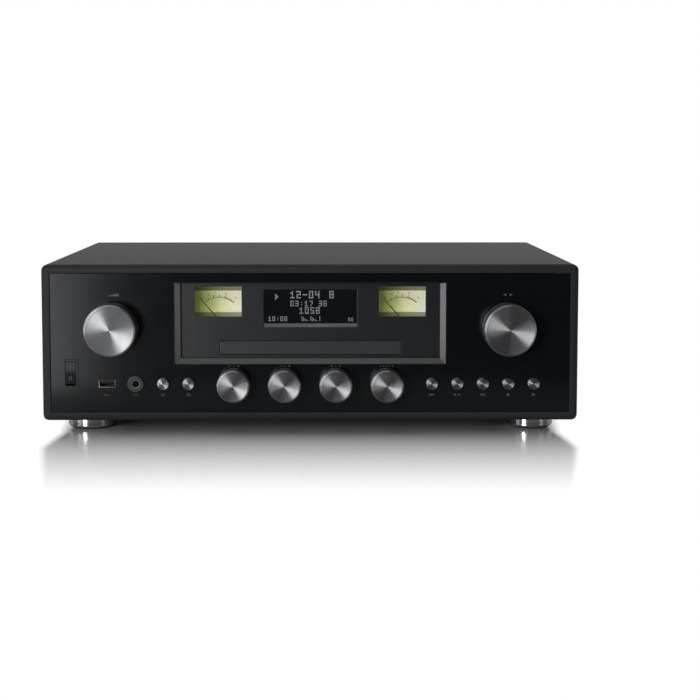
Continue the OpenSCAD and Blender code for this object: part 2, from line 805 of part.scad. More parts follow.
// Turned knob with a chamfered face, a dished centre and a hollow back, bored for its shaft
knob_chamfer = 1.2;
knob_dish = 0.4;
module knob(x, z, r, l) {
    hollow = panel_inset - knob_gap;
    turned_y(x, hollow - l, z, [
        [0, knob_dish],
        [r - 2 * knob_chamfer, knob_dish],
        [r - 2 * knob_chamfer, 0],
        [r - knob_chamfer, 0],
        [r, knob_chamfer],
        [r, l],
        [bush_r + 1.4, l],
        [bush_r + 1.4, l - bush_out],
        [shaft_r + run_gap, l - bush_out],
        [shaft_r + run_gap, 4],
        [0, 4]]);
}
module knob_shaft(x, z, l) rod_y(x, panel_inset - knob_gap - l + 4 + rest_gap, z,
    shaft_end - panel_inset + knob_gap + l - 4 - rest_gap, shaft_r);
module small_knob(i) color(silver) {
    knob(small_knob_x[i], row_abs_z, knob_r, knob_l);
    knob_shaft(small_knob_x[i], row_abs_z, knob_l);
}
module volume_knob() color(silver) {
    knob(-big_knob_x, big_abs_z, big_knob_r, big_knob_l);
    knob_shaft(-big_knob_x, big_abs_z, big_knob_l);
}
module tuning_shaft() color(steel) knob_shaft(big_knob_x, big_abs_z, big_knob_l);
module tuning_knob() color(silver) knob(big_knob_x, big_abs_z, big_knob_r, big_knob_l);
module bass_knob() small_knob(0);
module treble_knob() small_knob(1);
module balance_knob() small_knob(2);
module source_knob() small_knob(3);

// Round push button with a flange that keeps it behind the panel
button_chamfer = 0.5;
module push_button(i) color(silver) {
    front = panel_inset - button_out;
    flange = panel_back + rest_gap - front;
    turned_y(button_xs[i], front, row_abs_z, [
        [0, 0],
        [button_r - button_chamfer, 0],
        [button_r, button_chamfer],
        [button_r, flange],
        [button_r + 1.2, flange],
        [button_r + 1.2, flange + button_flange_t],
        [2, flange + button_flange_t],
        [2, button_stem_end - front],
        [0, button_stem_end - front]]);
}
module mode_button() push_button(0);
module menu_button() push_button(1);
module previous_button() push_button(2);
module play_button() push_button(3);
module next_button() push_button(4);
module stop_button() push_button(5);
module eject_button() push_button(6);

// Housing of the power switch, clipped into the panel
module power_switch_frame() color(gloss_black) difference() {
    union() {
        front_slab(panel_inset - switch_rim, switch_rim) front_rect(-rocker_x, rocker_abs_z,
            switch_in_w + 4 * switch_wall, switch_in_h + 4 * switch_wall);
        front_slab(panel_inset, switch_l) front_rect(-rocker_x, rocker_abs_z,
            switch_in_w + 2 * switch_wall, switch_in_h + 2 * switch_wall);
    }
    front_slab(panel_inset - switch_rim - 1, switch_rim + switch_l)
        front_rect(-rocker_x, rocker_abs_z, switch_in_w, switch_in_h);
    rod_x(-rocker_x - switch_in_w, rocker_pivot_d, rocker_abs_z, 2 * switch_in_w, rocker_pin_r + run_gap);
}

// Rocker of the power switch, tipped to off at rest, with its two pivot pins
rocker_proud = 5.5;
rocker_hollow = 1.4;
module power_rocker() color(gloss_black) place(-rocker_x, rocker_pivot_d, rocker_abs_z)
    rotate([-rocker_swing / 2, 0, 0]) {
        rotate([90, 0, 90]) translate([0, 0, -rocker_w / 2]) linear_extrude(rocker_w) polygon([
            [-rocker_proud, -rocker_h / 2],
            [rocker_hollow - rocker_proud, 0],
            [-rocker_proud, rocker_h / 2],
            [0.6 - rocker_proud / 2, rocker_h / 2],
            [2.4, 3],
            [2.4, -3],
            [0.6 - rocker_proud / 2, -rocker_h / 2]]);
        rotate([0, 90, 0]) translate([0, 0, -switch_in_w / 2 - 0.6]) cylinder(h = switch_in_w + 1.2, r = rocker_pin_r);
    }

// Headphone socket: ring, bush through the panel, body with its plug bore
module headphone_socket() color(gloss_black) difference() {
    union() {
        turned_y(-phone_x, panel_inset - phone_ring_t, row_abs_z, [
            [0, 0],
            [phone_ring_r - 0.6, 0],
            [phone_ring_r, 0.6],
            [phone_ring_r, phone_ring_t],
            [phone_bush_r, phone_ring_t],
            [phone_bush_r, phone_ring_t + panel_t + 1],
            [0, phone_ring_t + panel_t + 1]]);
        front_slab(panel_back, phone_bore_l + phone_back - panel_t - phone_ring_t)
            front_rect(-phone_x, row_abs_z, phone_w, phone_w);
    }
    rod_y(-phone_x, panel_inset - phone_ring_t - 1, row_abs_z, phone_bore_l + 1, phone_bore_r);
}

// Data socket: a thin shell with a tongue in its upper half
module usb_socket() color(steel) {
    difference() {
        front_slab(panel_inset + 0.2, board_d - panel_inset - 0.2) front_rect(-usb_x, row_abs_z, usb_w, usb_h);
        front_slab(panel_inset - 1, board_d - usb_back - panel_inset + 1)
            front_rect(-usb_x, row_abs_z, usb_w - 2 * usb_wall, usb_h - 2 * usb_wall);
    }
    front_slab(panel_inset + 1.6, board_d - panel_inset - 2.4)
        front_rect(-usb_x, row_abs_z + usb_h / 4 - 0.4, usb_tongue[0], usb_tongue[1]);
}

// Moulded frame of the disc drive: shelf, side walls with the tray's rails, feet, axles and hinge posts
module loader_chassis() color(smoke) difference() {
    union() {
        difference() {
            block([-loader_w / 2, loader_d, shelf_z], [loader_w / 2, loader_d + loader_l, shelf_z + shelf_t]);
            block([-well_half_w, frame_front + 2, shelf_z - 1],
                [well_half_w, hinge_d + shelf_well_back, shelf_z + shelf_t + 1]);
            rod_z(motor_x, tray_gear_d, shelf_z - 1, shelf_t + 2, 3 * motor_shaft_r);
        }
        for (s = [-1, 1]) {
            mirror([s < 0 ? 1 : 0, 0, 0]) {
                block([loader_in_w / 2, loader_d, shelf_z], [loader_w / 2, loader_d + loader_l, wall_top]);
                block([tray_w / 2 - 4, loader_d, tray_low - rest_gap - ledge_h],
                    [loader_in_w / 2 + 1, loader_d + loader_l, tray_low - rest_gap]);
                block([tray_w / 2 - 3, loader_d, tray_top + rest_gap],
                    [loader_in_w / 2 + 1, loader_d + loader_l, tray_top + rest_gap + ledge_h]);
                block([frame_w / 2 + 4.5, hinge_d - hinge_post_w, shelf_z],
                    [frame_w / 2 + 4.5 + hinge_post_w, hinge_d + hinge_post_w, hinge_z + hinge_post_w]);
            }
            for (d = [loader_d + leg_inset, loader_d + loader_l - leg_inset])
                rod_z(s * (loader_w / 2 - 9), d, floor_z, shelf_z + 1 - floor_z, 5);
        }
        rod_z(tray_gear_x, tray_gear_d, shelf_z, wheel_z - rest_gap - shelf_z, 2 * axle_r);
        rod_z(tray_gear_x, tray_gear_d, shelf_z, rack_low + 1.5 - shelf_z, axle_r);
        rod_z(pulley_x, tray_gear_d, shelf_z, pulley_z - rest_gap - shelf_z, 2 * axle_r);
        rod_z(pulley_x, tray_gear_d, shelf_z, wheel_z + wheel_t + 1 - shelf_z, axle_r);
    }
    for (s = [-1, 1]) rod_x(s * frame_w - frame_w / 2, hinge_d, hinge_z, frame_w, hinge_r + run_gap);
}

// Tray with its two wells, the pickup slot that is open to the back, and the rack underneath
module disc_tray() color(smoke) union() {
    difference() {
        block([-tray_w / 2, tray_d, tray_low], [tray_w / 2, tray_d + tray_l, tray_top]);
        rod_z(0, disc_d, well_z, well_depth + 1, well_r);
        rod_z(0, disc_d, well_z - small_well_depth, well_depth + 2, small_well_r);
        rod_z(0, disc_d, tray_low - 1, tray_top - tray_low + 2, tray_slot_r);
        block([-tray_slot_r, disc_d, tray_low - 1], [tray_slot_r, tray_d + tray_l + 1, tray_top + 1]);
    }
    flat_slab(rack_low, rack_h + 0.4) rack_outline(rack_module, rack_back_x, rack_pitch_x, tray_gear_d,
        tray_gear_d - rack_lead, tray_d + tray_l);
}

// Front of the tray, flush with the window panel
module tray_front() color(smoke * 1.3) front_slab(bezel_back, tray_front_t)
    front_rect(0, tray_abs_z, tray_front_w, tray_front_h);

// Plate across the drive that carries the clamp
module clamp_bridge() color(steel) difference() {
    block([-loader_w / 2, disc_d - bridge_w / 2, wall_top], [loader_w / 2, disc_d + bridge_w / 2, wall_top + bridge_t]);
    rod_z(0, disc_d, wall_top - 1, bridge_t + 2, clamp_r + clamp_gap);
}

// Puck that presses a disc onto the turntable; it hangs in the bridge by its flange
clamp_low = disc_z + 2.2;
clamp_top = wall_top + bridge_t + rest_gap + 1.7;
module disc_clamper() color(nylon) turned_z(0, disc_d, 0, [
    [0, clamp_low + 2],
    [boss_r + 1.2, clamp_low + 2],
    [boss_r + 1.2, clamp_low],
    [clamp_r, clamp_low],
    [clamp_r, clamp_top - 1.7],
    [clamp_flange_r, clamp_top - 1.7],
    [clamp_flange_r, clamp_top],
    [0, clamp_top]]);

// Steel frame that carries the turntable motor and the pickup, hinged at the back
module traverse_frame() color(steel) union() {
    difference() {
        block([-frame_w / 2, frame_front, frame_z], [frame_w / 2, frame_front + frame_l, frame_z + frame_t]);
        rod_z(0, disc_d, frame_z - 1, frame_t + 2, 4);
        block([-8, sled_d - 8, frame_z - 1], [8, sled_d + sled_travel + 8, frame_z + frame_t + 1]);
    }
    for (s = [-1, 1]) {
        block([s * (frame_w / 2 - 5) - 5, frame_front + frame_l - 6, hinge_z - 3],
            [s * (frame_w / 2 - 5) + 5, hinge_d + 3, frame_z + frame_t]);
        rod_x(s * (frame_w / 2 + 4) - 6, hinge_d, hinge_z, 12, hinge_r);
        for (d = [rod_front - lug_l, rod_back]) difference() {
            block([s * rod_x - 3, d, rod_z - 3], [s * rod_x + 3, d + lug_l, frame_z + frame_t]);
            rod_y(s * rod_x, d - 1, rod_z, lug_l + 2, rod_r + run_gap);
        }
    }
    block([33, feed_d - 10, feed_z - 0.5 - feed_shelf_t], [35, feed_d + 10, frame_z + frame_t]);
    difference() {
        block([feed_x - 9, feed_d - 10, feed_z - 0.5 - feed_shelf_t], [34, feed_d + 10, feed_z - 0.5]);
        rod_z(feed_x, feed_d, feed_z - 5, 6, 2);
    }
}

// Can motors of the turntable and of the pickup drive, each bored for its shaft
module can_motor(x, d, top, h, r) difference() {
    rod_z(x, d, top - h, h, r);
    rod_z(x, d, top - 6, 7, motor_shaft_r + run_gap);
}
module traverse_motors() color(steel) {
    can_motor(0, disc_d, frame_z, motor_h, motor_r);
    can_motor(feed_x, feed_d, feed_z - 0.5 - feed_shelf_t, feed_motor_h, feed_motor_r);
}

// Turntable with its centring boss and its shaft
module turntable() color(smoke) turned_z(0, disc_d, 0, [
    [0, frame_z - 5],
    [motor_shaft_r, frame_z - 5],
    [motor_shaft_r, frame_z + frame_t + 0.5],
    [5, frame_z + frame_t + 0.5],
    [5, disc_z - 2],
    [turntable_r, disc_z - 2],
    [turntable_r, disc_z],
    [boss_r, disc_z],
    [boss_r, disc_z + 0.8],
    [boss_r - 1.5, disc_z + 1.6],
    [0, disc_z + 1.6]]);

// Polished rods of the pickup
module guide_rods() color(silver) for (s = [-1, 1])
    rod_y(s * rod_x, rod_front - lug_l, rod_z, rod_back - rod_front + 2 * lug_l, rod_r);

// Pickup sled with its lens turret and rack
turret_r = 6;
lens_r = 3.5;
module pickup_sled() color(gloss_black) difference() {
    union() {
        block([-rod_x - 4, sled_d - sled_front, sled_low], [rod_x + 4, sled_d + sled_back, frame_z - 0.5]);
        rod_z(0, sled_d, sled_low, frame_z + 4 - sled_low, turret_r);
        rod_z(0, sled_d, sled_low, disc_z - 2.5 - sled_low, lens_r);
        flat_slab(feed_z, sled_low - feed_z + 0.4) rack_outline(feed_module, feed_rack_x - 5, feed_rack_x,
            feed_d, feed_d - sled_travel - 3, feed_d + 3);
    }
    for (s = [-1, 1]) rod_y(s * rod_x, sled_d - sled_front - 1, rod_z, sled_front + sled_back + 2, rod_r + run_gap);
}

// Gear that drives the pickup's rack, with its motor shaft
module feed_gear() color(nylon) {
    place(feed_x, feed_d, feed_z) linear_extrude(feed_t) rotate(180) gear_outline(feed_module, feed_teeth);
    rod_z(feed_x, feed_d, feed_z - 7, 8, motor_shaft_r);
}

// Motor that opens and closes the tray, under the shelf
loading_motor_r = 10;
loading_motor_h = 14;
module loading_motor() color(steel) can_motor(motor_x, tray_gear_d, shelf_z, loading_motor_h, loading_motor_r);

// Flanged belt pulley outline from its lower face
function pulley_points(r) = [
    [0, 0],
    [r + pulley_lip, 0],
    [r + pulley_lip, 0.6],
    [r, 1.2],
    [r, pulley_t - 1.2],
    [r + pulley_lip, pulley_t - 0.6],
    [r + pulley_lip, pulley_t],
    [0, pulley_t]];
module motor_pulley() color(copper) union() {
    turned_z(motor_x, tray_gear_d, pulley_z, pulley_points(motor_pulley_r));
    rod_z(motor_x, tray_gear_d, shelf_z - 4, pulley_z - shelf_z + 5, motor_shaft_r);
}

// Rubber belt between the two pulleys
module belt_loop(grow) hull() {
    translate([pulley_x, tray_gear_d]) circle(pulley_r + grow);
    translate([motor_x, tray_gear_d]) circle(motor_pulley_r + grow);
}
module loading_belt() color(rubber) flat_slab(belt_z - belt_h / 2, belt_h) difference() {
    belt_loop(belt_gap + belt_t);
    belt_loop(belt_gap);
}

// Large pulley with the pinion that drives the tray's wheel
module pulley_gear() color(nylon) difference() {
    union() {
        turned_z(pulley_x, tray_gear_d, pulley_z, pulley_points(pulley_r));
        rod_z(pulley_x, tray_gear_d, pulley_z, wheel_z - pulley_z, 5);
        place(pulley_x, tray_gear_d, wheel_z - 0.2) linear_extrude(wheel_t + 0.4)
            rotate(180 + 180 / pulley_pinion_teeth) gear_outline(rack_module, pulley_pinion_teeth);
    }
    rod_z(pulley_x, tray_gear_d, pulley_z - 1, wheel_z - pulley_z + wheel_t + 3, axle_bore_r);
}

// Wheel and pinion that move the tray by its rack
module tray_gear() color(nylon) difference() {
    union() {
        place(tray_gear_x, tray_gear_d, wheel_z) linear_extrude(wheel_t) gear_outline(rack_module, tray_wheel_teeth);
        rod_z(tray_gear_x, tray_gear_d, wheel_z, rack_low - wheel_z, 5);
        place(tray_gear_x, tray_gear_d, rack_low - 0.2) linear_extrude(rack_h - 0.1)
            rotate(180) gear_outline(rack_module, tray_pinion_teeth);
    }
    rod_z(tray_gear_x, tray_gear_d, wheel_z - 1, rack_low - wheel_z + rack_h + 2, axle_bore_r);
}

// Main board on spacers, with reservoir capacitors, the tuner can, an amplifier chip and a processor
cap_r = 9;
cap_h = 30;
cap_pitch = 20;
cap_in = 24;
tuner_size = [44, 34, 12];
chip_size = [26, 26, 2];
amp_size = [40, 12, 3];
chip_in = 80;
amp_in = 120;
part_edge = 8;
spacer_in = 6;
module main_board() color(pcb_green) {
    block([main_x - main_w / 2, main_d, main_top - pcb_t], [main_x + main_w / 2, main_d + main_l, main_top]);
    for (x = [-1, 1], d = [spacer_in, main_l - spacer_in])
        rod_z(main_x + x * (main_w / 2 - spacer_in), main_d + d, floor_z, spacer_h, spacer_r);
    for (i = [-1.5 : 1.5]) rod_z(main_x + cap_pitch * i, main_d + cap_in, main_top, cap_h, cap_r);
    place(main_x - main_w / 2 + part_edge + tuner_size[0] / 2, main_d + chip_in, main_top + tuner_size[2] / 2)
        cube(tuner_size, center = true);
    place(main_x + main_w / 2 - part_edge - chip_size[0] / 2, main_d + chip_in, main_top + chip_size[2] / 2)
        cube(chip_size, center = true);
    place(main_x, main_d + amp_in, main_top + amp_size[2] / 2) cube(amp_size, center = true);
}

// Ring transformer with its clamping dish and bolt
trafo_round = 8;
module transformer() {
    color(copper) place(trafo_x, trafo_d, floor_z + trafo_h / 2) rotate_extrude()
        translate([(trafo_r + trafo_hole_r) / 2, 0]) round_rect(trafo_r - trafo_hole_r, trafo_h, trafo_round);
    color(steel) difference() {
        turned_z(trafo_x, trafo_d, floor_z, [
            [0, 0],
            [trafo_hole_r - 3, 0],
            [trafo_hole_r - 3, trafo_h],
            [trafo_r - trafo_round, trafo_h],
            [trafo_r - trafo_round, trafo_h + 1.5],
            [0, trafo_h + 1.5]]);
        rod_z(trafo_x, trafo_d, floor_z - 1, trafo_h + 4, 3);
    }
    color(steel) turned_z(trafo_x, trafo_d, floor_z, [
        [0, 0],
        [3 - run_gap, 0],
        [3 - run_gap, trafo_h + 1.5],
        [6, trafo_h + 1.5],
        [6, trafo_h + 5],
        [0, trafo_h + 5]]);
}

// Finned heat sink of the amplifier, standing on the main board
fin_t = 2;
sink_base = 6;
module heat_sink() color([0.2, 0.2, 0.22]) union() {
    block([main_x - sink_w / 2, sink_d, main_top], [main_x + sink_w / 2, sink_d + sink_base, main_top + sink_h]);
    for (i = [0 : fin_count - 1])
        place(main_x - sink_w / 2 + i * (sink_w - fin_t) / (fin_count - 1), sink_d, main_top)
            cube([fin_t, sink_l, sink_h]);
}

// Mains inlet with its two pins in a round-ended well
module mains_inlet() color(gloss_black) {
    difference() {
        union() {
            front_slab(rear_face, socket_flange) front_rect(inlet_x, inlet_z, inlet_w, inlet_h);
            front_slab(rear_face - inlet_depth - 3, inlet_depth + 3 + socket_flange)
                front_rect(inlet_x, inlet_z, inlet_w - 6, inlet_h - 4);
        }
        front_slab(rear_face + socket_flange - inlet_depth, inlet_depth + 1)
            translate([inlet_x, inlet_z]) round_rect(2 * pin_pitch, pin_pitch, pin_pitch / 2 - 0.1);
    }
    for (s = [-1, 1]) rod_y(inlet_x + s * pin_pitch / 2, rear_face + socket_flange - inlet_depth - 1, inlet_z,
        inlet_depth - 1, pin_r);
}

// Four line sockets and the aerial socket on the rear panel
module line_sockets() color(steel) {
    front_slab(rear_face, socket_flange) front_rect(line_x, line_z, 2 * line_pitch, 2 * line_pitch);
    front_slab(rear_in - 10, rear_t + 10) front_rect(line_x, line_z, 2 * line_pitch - 3, 2 * line_pitch - 3);
    for (x = [-1, 1], z = [-1, 1]) difference() {
        rod_y(line_x + x * line_pitch / 2, rear_face, line_z + z * line_pitch / 2, socket_flange + line_l, line_r);
        rod_y(line_x + x * line_pitch / 2, rear_face + socket_flange, line_z + z * line_pitch / 2, line_l + 1, 1.6);
    }
    front_slab(rear_face, socket_flange) front_rect(aerial_x, line_z, 2 * aerial_r + 5, 2 * aerial_r + 5);
    front_slab(rear_in - 10, rear_t + 10) front_rect(aerial_x, line_z, 2 * aerial_r + 1, 2 * aerial_r + 1);
    difference() {
        rod_y(aerial_x, rear_face, line_z, socket_flange + aerial_l, aerial_r);
        rod_y(aerial_x, rear_face + socket_flange, line_z, aerial_l + 1, 1.3);
    }
}

// Four speaker terminals on one plate, each bored for a plug
post_neck = 2;
post_chamfer = 0.8;
module speaker_terminals() color(gloss_black) {
    front_slab(rear_face, socket_flange) front_rect(post_x, post_z, 4 * post_pitch, 2 * post_r + 4);
    front_slab(rear_in - 8, rear_t + 8 + socket_flange) front_rect(post_x, post_z, 4 * post_pitch - 7, 2 * post_r);
    for (i = [-1.5 : 1.5]) turned_y(post_x + i * post_pitch, rear_face + socket_flange, post_z, [
        [0, run_gap],
        [post_r - 1, run_gap],
        [post_r - 1, post_neck],
        [post_r, post_neck + 1],
        [post_r, post_l - post_chamfer],
        [post_r - post_chamfer, post_l],
        [plug_bore_r, post_l],
        [plug_bore_r, post_l - plug_bore_l],
        [0, post_l - plug_bore_l]]);
}

cabinet_cover();
base_board();
corner_blocks();
rear_panel();
front_panel();
window_bezel();
window_panel();
window_panes();
feet();
foot_pads();
case_screws();
meter_cans();
meter_dials();
meter_needle_left();
meter_needle_right();
display_module();
display_screen();
control_board();
control_pots();
tact_switches();
volume_knob();
tuning_shaft();
tuning_knob();
bass_knob();
treble_knob();
balance_knob();
source_knob();
mode_button();
menu_button();
previous_button();
play_button();
next_button();
stop_button();
eject_button();
power_switch_frame();
power_rocker();
headphone_socket();
usb_socket();
loader_chassis();
disc_tray();
tray_front();
clamp_bridge();
disc_clamper();
traverse_frame();
traverse_motors();
turntable();
guide_rods();
pickup_sled();
feed_gear();
loading_motor();
motor_pulley();
loading_belt();
pulley_gear();
tray_gear();
main_board();
transformer();
heat_sink();
mains_inlet();
line_sockets();
speaker_terminals();
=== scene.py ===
from math import cos, pi, radians, sin

import bmesh
import bpy
from mathutils import Matrix, Vector


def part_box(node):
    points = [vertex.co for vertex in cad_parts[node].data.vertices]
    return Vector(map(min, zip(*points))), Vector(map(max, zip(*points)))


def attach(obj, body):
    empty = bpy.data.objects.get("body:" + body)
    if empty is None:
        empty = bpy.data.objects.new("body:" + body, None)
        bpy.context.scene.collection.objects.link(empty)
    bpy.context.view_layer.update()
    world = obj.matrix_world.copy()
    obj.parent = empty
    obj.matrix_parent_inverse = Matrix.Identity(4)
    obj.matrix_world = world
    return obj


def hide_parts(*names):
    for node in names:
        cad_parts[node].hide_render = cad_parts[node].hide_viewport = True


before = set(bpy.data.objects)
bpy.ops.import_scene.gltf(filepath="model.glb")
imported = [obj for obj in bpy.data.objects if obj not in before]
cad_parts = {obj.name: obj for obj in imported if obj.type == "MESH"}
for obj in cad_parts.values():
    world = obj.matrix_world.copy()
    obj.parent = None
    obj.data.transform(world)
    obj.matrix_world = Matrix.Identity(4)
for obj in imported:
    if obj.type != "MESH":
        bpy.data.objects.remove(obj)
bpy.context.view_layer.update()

# Camera: a long lens a good metre in front of the radio and a little above its lid.
# Its shift sets the radio left of the middle and below it.
camera_place, camera_dip, camera_swing = (0.0103, -1.3725, 0.2281), 4.876, 0.374
scene = bpy.context.scene
scene.view_settings.view_transform = "Standard"
lens = bpy.data.cameras.new("front_camera")
lens.lens, lens.sensor_width = 79.704, 36
lens.shift_x, lens.shift_y = 0.024, -0.10
camera = bpy.data.objects.new("front_camera", lens)
camera.location = camera_place
camera.rotation_euler = (radians(90 - camera_dip), 0, radians(-camera_swing))
scene.collection.objects.link(camera)
scene.camera = camera

# Table and studio: a round, pale, polished table top that fades into a white room, and soft lamps.
# The strongest stands at the left in front with a low one by it, weak ones at the sides, one above.
table_radius, table_sides, table_drop, table_rough, table_mirror = 0.43, 128, 0.0001, 0.2, 0.29
table_colour, table_in_gloss, pure_white = (0.76, 0.76, 0.765, 1), (0.42, 0.42, 0.425, 1), (1, 1, 1, 1)
shade_half, fade_reach, fade_in_gloss = (0.210, 0.143, 0), (0.009, 0.21, 1), (5, 5, 1)
front_away, side_spread, corner_half, corner_run = 1.2315, 13, 0.193, 0.065
room_front, room_back, room_from, room_to = 0.045, 0.75, -0.1, 0.45


def joined(tree, name, *sources, out=0, **settings):
    """A new node with its first sockets linked or set, in order; gives one of its outputs."""
    node = tree.nodes.new(name)
    for key, value in settings.items():
        setattr(node, key, value)
    for socket, source in zip(node.inputs, sources):
        if isinstance(source, bpy.types.NodeSocket):
            tree.links.new(source, socket)
        elif source is not None:
            socket.default_value = source
    return node.outputs[out]


def maths(tree, operation, *sources):
    """A number worked out from others."""
    return joined(tree, "ShaderNodeMath", *sources, operation=operation)


def vectors(tree, operation, *sources, out=0):
    """A vector worked out from others, or another output of the node."""
    return joined(tree, "ShaderNodeVectorMath", *sources, out=out, operation=operation)


def mixed(tree, factor, first, second, blend="MIX"):
    """Two colours mixed by a factor."""
    return joined(tree, "ShaderNodeMix", factor, *[None] * 5, first, second, out=2,
                  data_type="RGBA", blend_type=blend)


def parts_of(tree, source):
    """The three parts of a vector, by name."""
    node = tree.nodes.new("ShaderNodeSeparateXYZ")
    tree.links.new(source, node.inputs[0])
    return node.outputs


def on_object(tree):
    """Object coordinates, in which a pattern lies still on its piece."""
    return tree.nodes.new("ShaderNodeTexCoord").outputs["Object"]


def meshed(name, form):
    """The mesh of a finished form."""
    mesh = bpy.data.meshes.new(name)
    form.to_mesh(mesh)
    form.free()
    return mesh


room = bpy.data.worlds.new("studio_room")
room.use_nodes = True
scene.world = room
air = room.node_tree
seen = air.nodes.new("ShaderNodeLightPath").outputs["Is Camera Ray"]
towards = parts_of(air, air.nodes.new("ShaderNodeTexCoord").outputs["Generated"])
backwards = joined(air, "ShaderNodeMapRange", towards["Y"], room_from, room_to, room_front, room_back)
air.links.new(maths(air, "MAXIMUM", seen, backwards), air.nodes["Background"].inputs["Strength"])
air.nodes["Background"].inputs["Color"].default_value = pure_white

# The top fades to white beside the radio and far in front of it; mirrored in the radio it is darker.
table_white = bpy.data.materials.new("table_white")
table_white.use_nodes = True
top = table_white.node_tree
top_shader = top.nodes["Principled BSDF"]
top_shader.inputs["Roughness"].default_value = table_rough
flat = parts_of(top, on_object(top))
away = maths(top, "ADD", flat["Y"], -camera_place[1])
nearness = maths(top, "MAXIMUM", maths(top, "DIVIDE", front_away, away), 1.0)
behind = maths(top, "MAXIMUM", maths(top, "SUBTRACT", away, front_away), 0.0)
spread = maths(top, "MULTIPLY_ADD", behind, side_spread, 1.0)
half = joined(top, "ShaderNodeMapRange", away, front_away - corner_run, front_away, shade_half[0], corner_half)
across = maths(top, "MULTIPLY", maths(top, "ABSOLUTE", flat["X"]), nearness)
across = maths(top, "DIVIDE", maths(top, "SUBTRACT", across, half), spread)
across = maths(top, "ADD", across, shade_half[0])
spot = joined(top, "ShaderNodeCombineXYZ", across, flat["Y"], 0.0)
outside = vectors(top, "SUBTRACT", vectors(top, "ABSOLUTE", spot), shade_half)
outside = vectors(top, "MAXIMUM", outside, (0, 0, 0))
ray = top.nodes.new("ShaderNodeLightPath").outputs
mirrored = maths(top, "MAXIMUM", ray["Is Glossy Ray"], ray["Is Transmission Ray"])
shares = []
for kind, reach in ((ray["Is Camera Ray"], fade_reach), (mirrored, fade_in_gloss)):
    run_out = vectors(top, "LENGTH", vectors(top, "DIVIDE", outside, reach), out="Value")
    shares.append(maths(top, "MULTIPLY", joined(top, "ShaderNodeMapRange", run_out), kind))
top.links.new(mixed(top, mirrored, table_colour, table_in_gloss), top_shader.inputs["Base Color"])
top.links.new(maths(top, "MULTIPLY", ray["Is Camera Ray"], table_mirror), top_shader.inputs["Metallic"])
white_light = joined(top, "ShaderNodeEmission", pure_white, 1.0)
faded = joined(top, "ShaderNodeMixShader", maths(top, "MAXIMUM", *shares), top_shader.outputs[0], white_light)
top.links.new(faded, top.nodes["Material Output"].inputs["Surface"])

form = bmesh.new()
bmesh.ops.create_circle(form, cap_ends=True, segments=table_sides, radius=table_radius)
bmesh.ops.translate(form, verts=form.verts, vec=(0, 0, -table_drop))
table_mesh = meshed("table_top", form)
table_mesh.materials.append(table_white)
table_top = bpy.data.objects.new("table_top", table_mesh)
scene.collection.objects.link(table_top)


def soft_lamp(name, place, aim, wide, tall, watts):
    """A rectangular soft lamp that lights the radio and isn't seen itself."""
    light = bpy.data.lights.new(name, "AREA")
    light.shape, light.size, light.size_y, light.energy = "RECTANGLE", wide, tall, watts
    lamp = bpy.data.objects.new(name, light)
    lamp.location = place
    lamp.rotation_euler = (Vector(aim) - Vector(place)).to_track_quat("-Z", "Y").to_euler()
    lamp.visible_camera = False
    scene.collection.objects.link(lamp)


soft_lamp("left_lamp", (-1.6, -2.9, 0.66), (0, -0.14, 0.085), 0.85, 1.5, 55)
soft_lamp("low_lamp", (-0.60, -1.66, -0.10), (-0.2, -0.14, 0.1), 0.34, 0.5, 1.25)
soft_lamp("side_lamp", (-1.03, -0.69, 0), (0.1, -0.14, 0.08), 0.3, 0.3, 1.3)
soft_lamp("upper_lamp", (-0.25, -0.8, 1.35), (0, -0.1, 0.08), 1.2, 0.8, 3)
soft_lamp("right_lamp", (1.05, -0.70, 0), (-0.1, -0.14, 0.08), 0.3, 0.3, 0.55)

# Cabinet: a U-shaped cover of thin board and a bottom board let in between its sides.
# Both are wrapped in satin black vinyl with a faint grain; the edges are rounded under the wrap.
mm = 0.001
front_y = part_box("cabinet_cover")[0].y
edge_break, sharp_angle, flat_angle, weld_gap = 0.4, 30, 0.6, 2e-6
cloud_scale, smear_scale, grain_share = 14.0, 95.0, 0.5


def finish(name, colour, rough, drift=0.18, grain=1800, relief=0.01, patchy=0.06, **sockets):
    """A surface whose colour drifts slightly, with patchy gloss and a fine grain in relief."""
    made = bpy.data.materials.new(name)
    made.use_nodes = True
    tree = made.node_tree
    shader = tree.nodes["Principled BSDF"]
    where = on_object(tree)
    cloud = joined(tree, "ShaderNodeTexNoise", where, None, cloud_scale, 4.0)
    dark, light = ([channel * change for channel in colour] + [1] for change in (1 - drift, 1 + drift))
    tree.links.new(mixed(tree, cloud, dark, light), shader.inputs["Base Color"])
    smear = joined(tree, "ShaderNodeTexNoise", where, None, smear_scale, 3.0)
    gloss = joined(tree, "ShaderNodeMapRange", smear, 0.3, 0.7, rough - patchy, rough + patchy)
    tree.links.new(gloss, shader.inputs["Roughness"])
    speck = joined(tree, "ShaderNodeTexNoise", where, None, grain, 2.0)
    bump = tree.nodes.new("ShaderNodeBump")
    bump.inputs["Strength"].default_value = grain_share
    bump.inputs["Distance"].default_value = relief * mm
    tree.links.new(speck, bump.inputs["Height"])
    tree.links.new(bump.outputs["Normal"], shader.inputs["Normal"])
    for key, value in sockets.items():
        shader.inputs[key.replace("_", " ")].default_value = value
    return made


def plain_mesh(holder):
    """The mesh of an object with its modifiers worked in; the object itself is thrown away."""
    scene.collection.objects.link(holder)
    graph = bpy.context.evaluated_depsgraph_get()
    worked = holder.evaluated_get(graph)
    mesh = bpy.data.meshes.new_from_object(worked, preserve_all_data_layers=True, depsgraph=graph)
    bpy.data.objects.remove(holder)
    return mesh


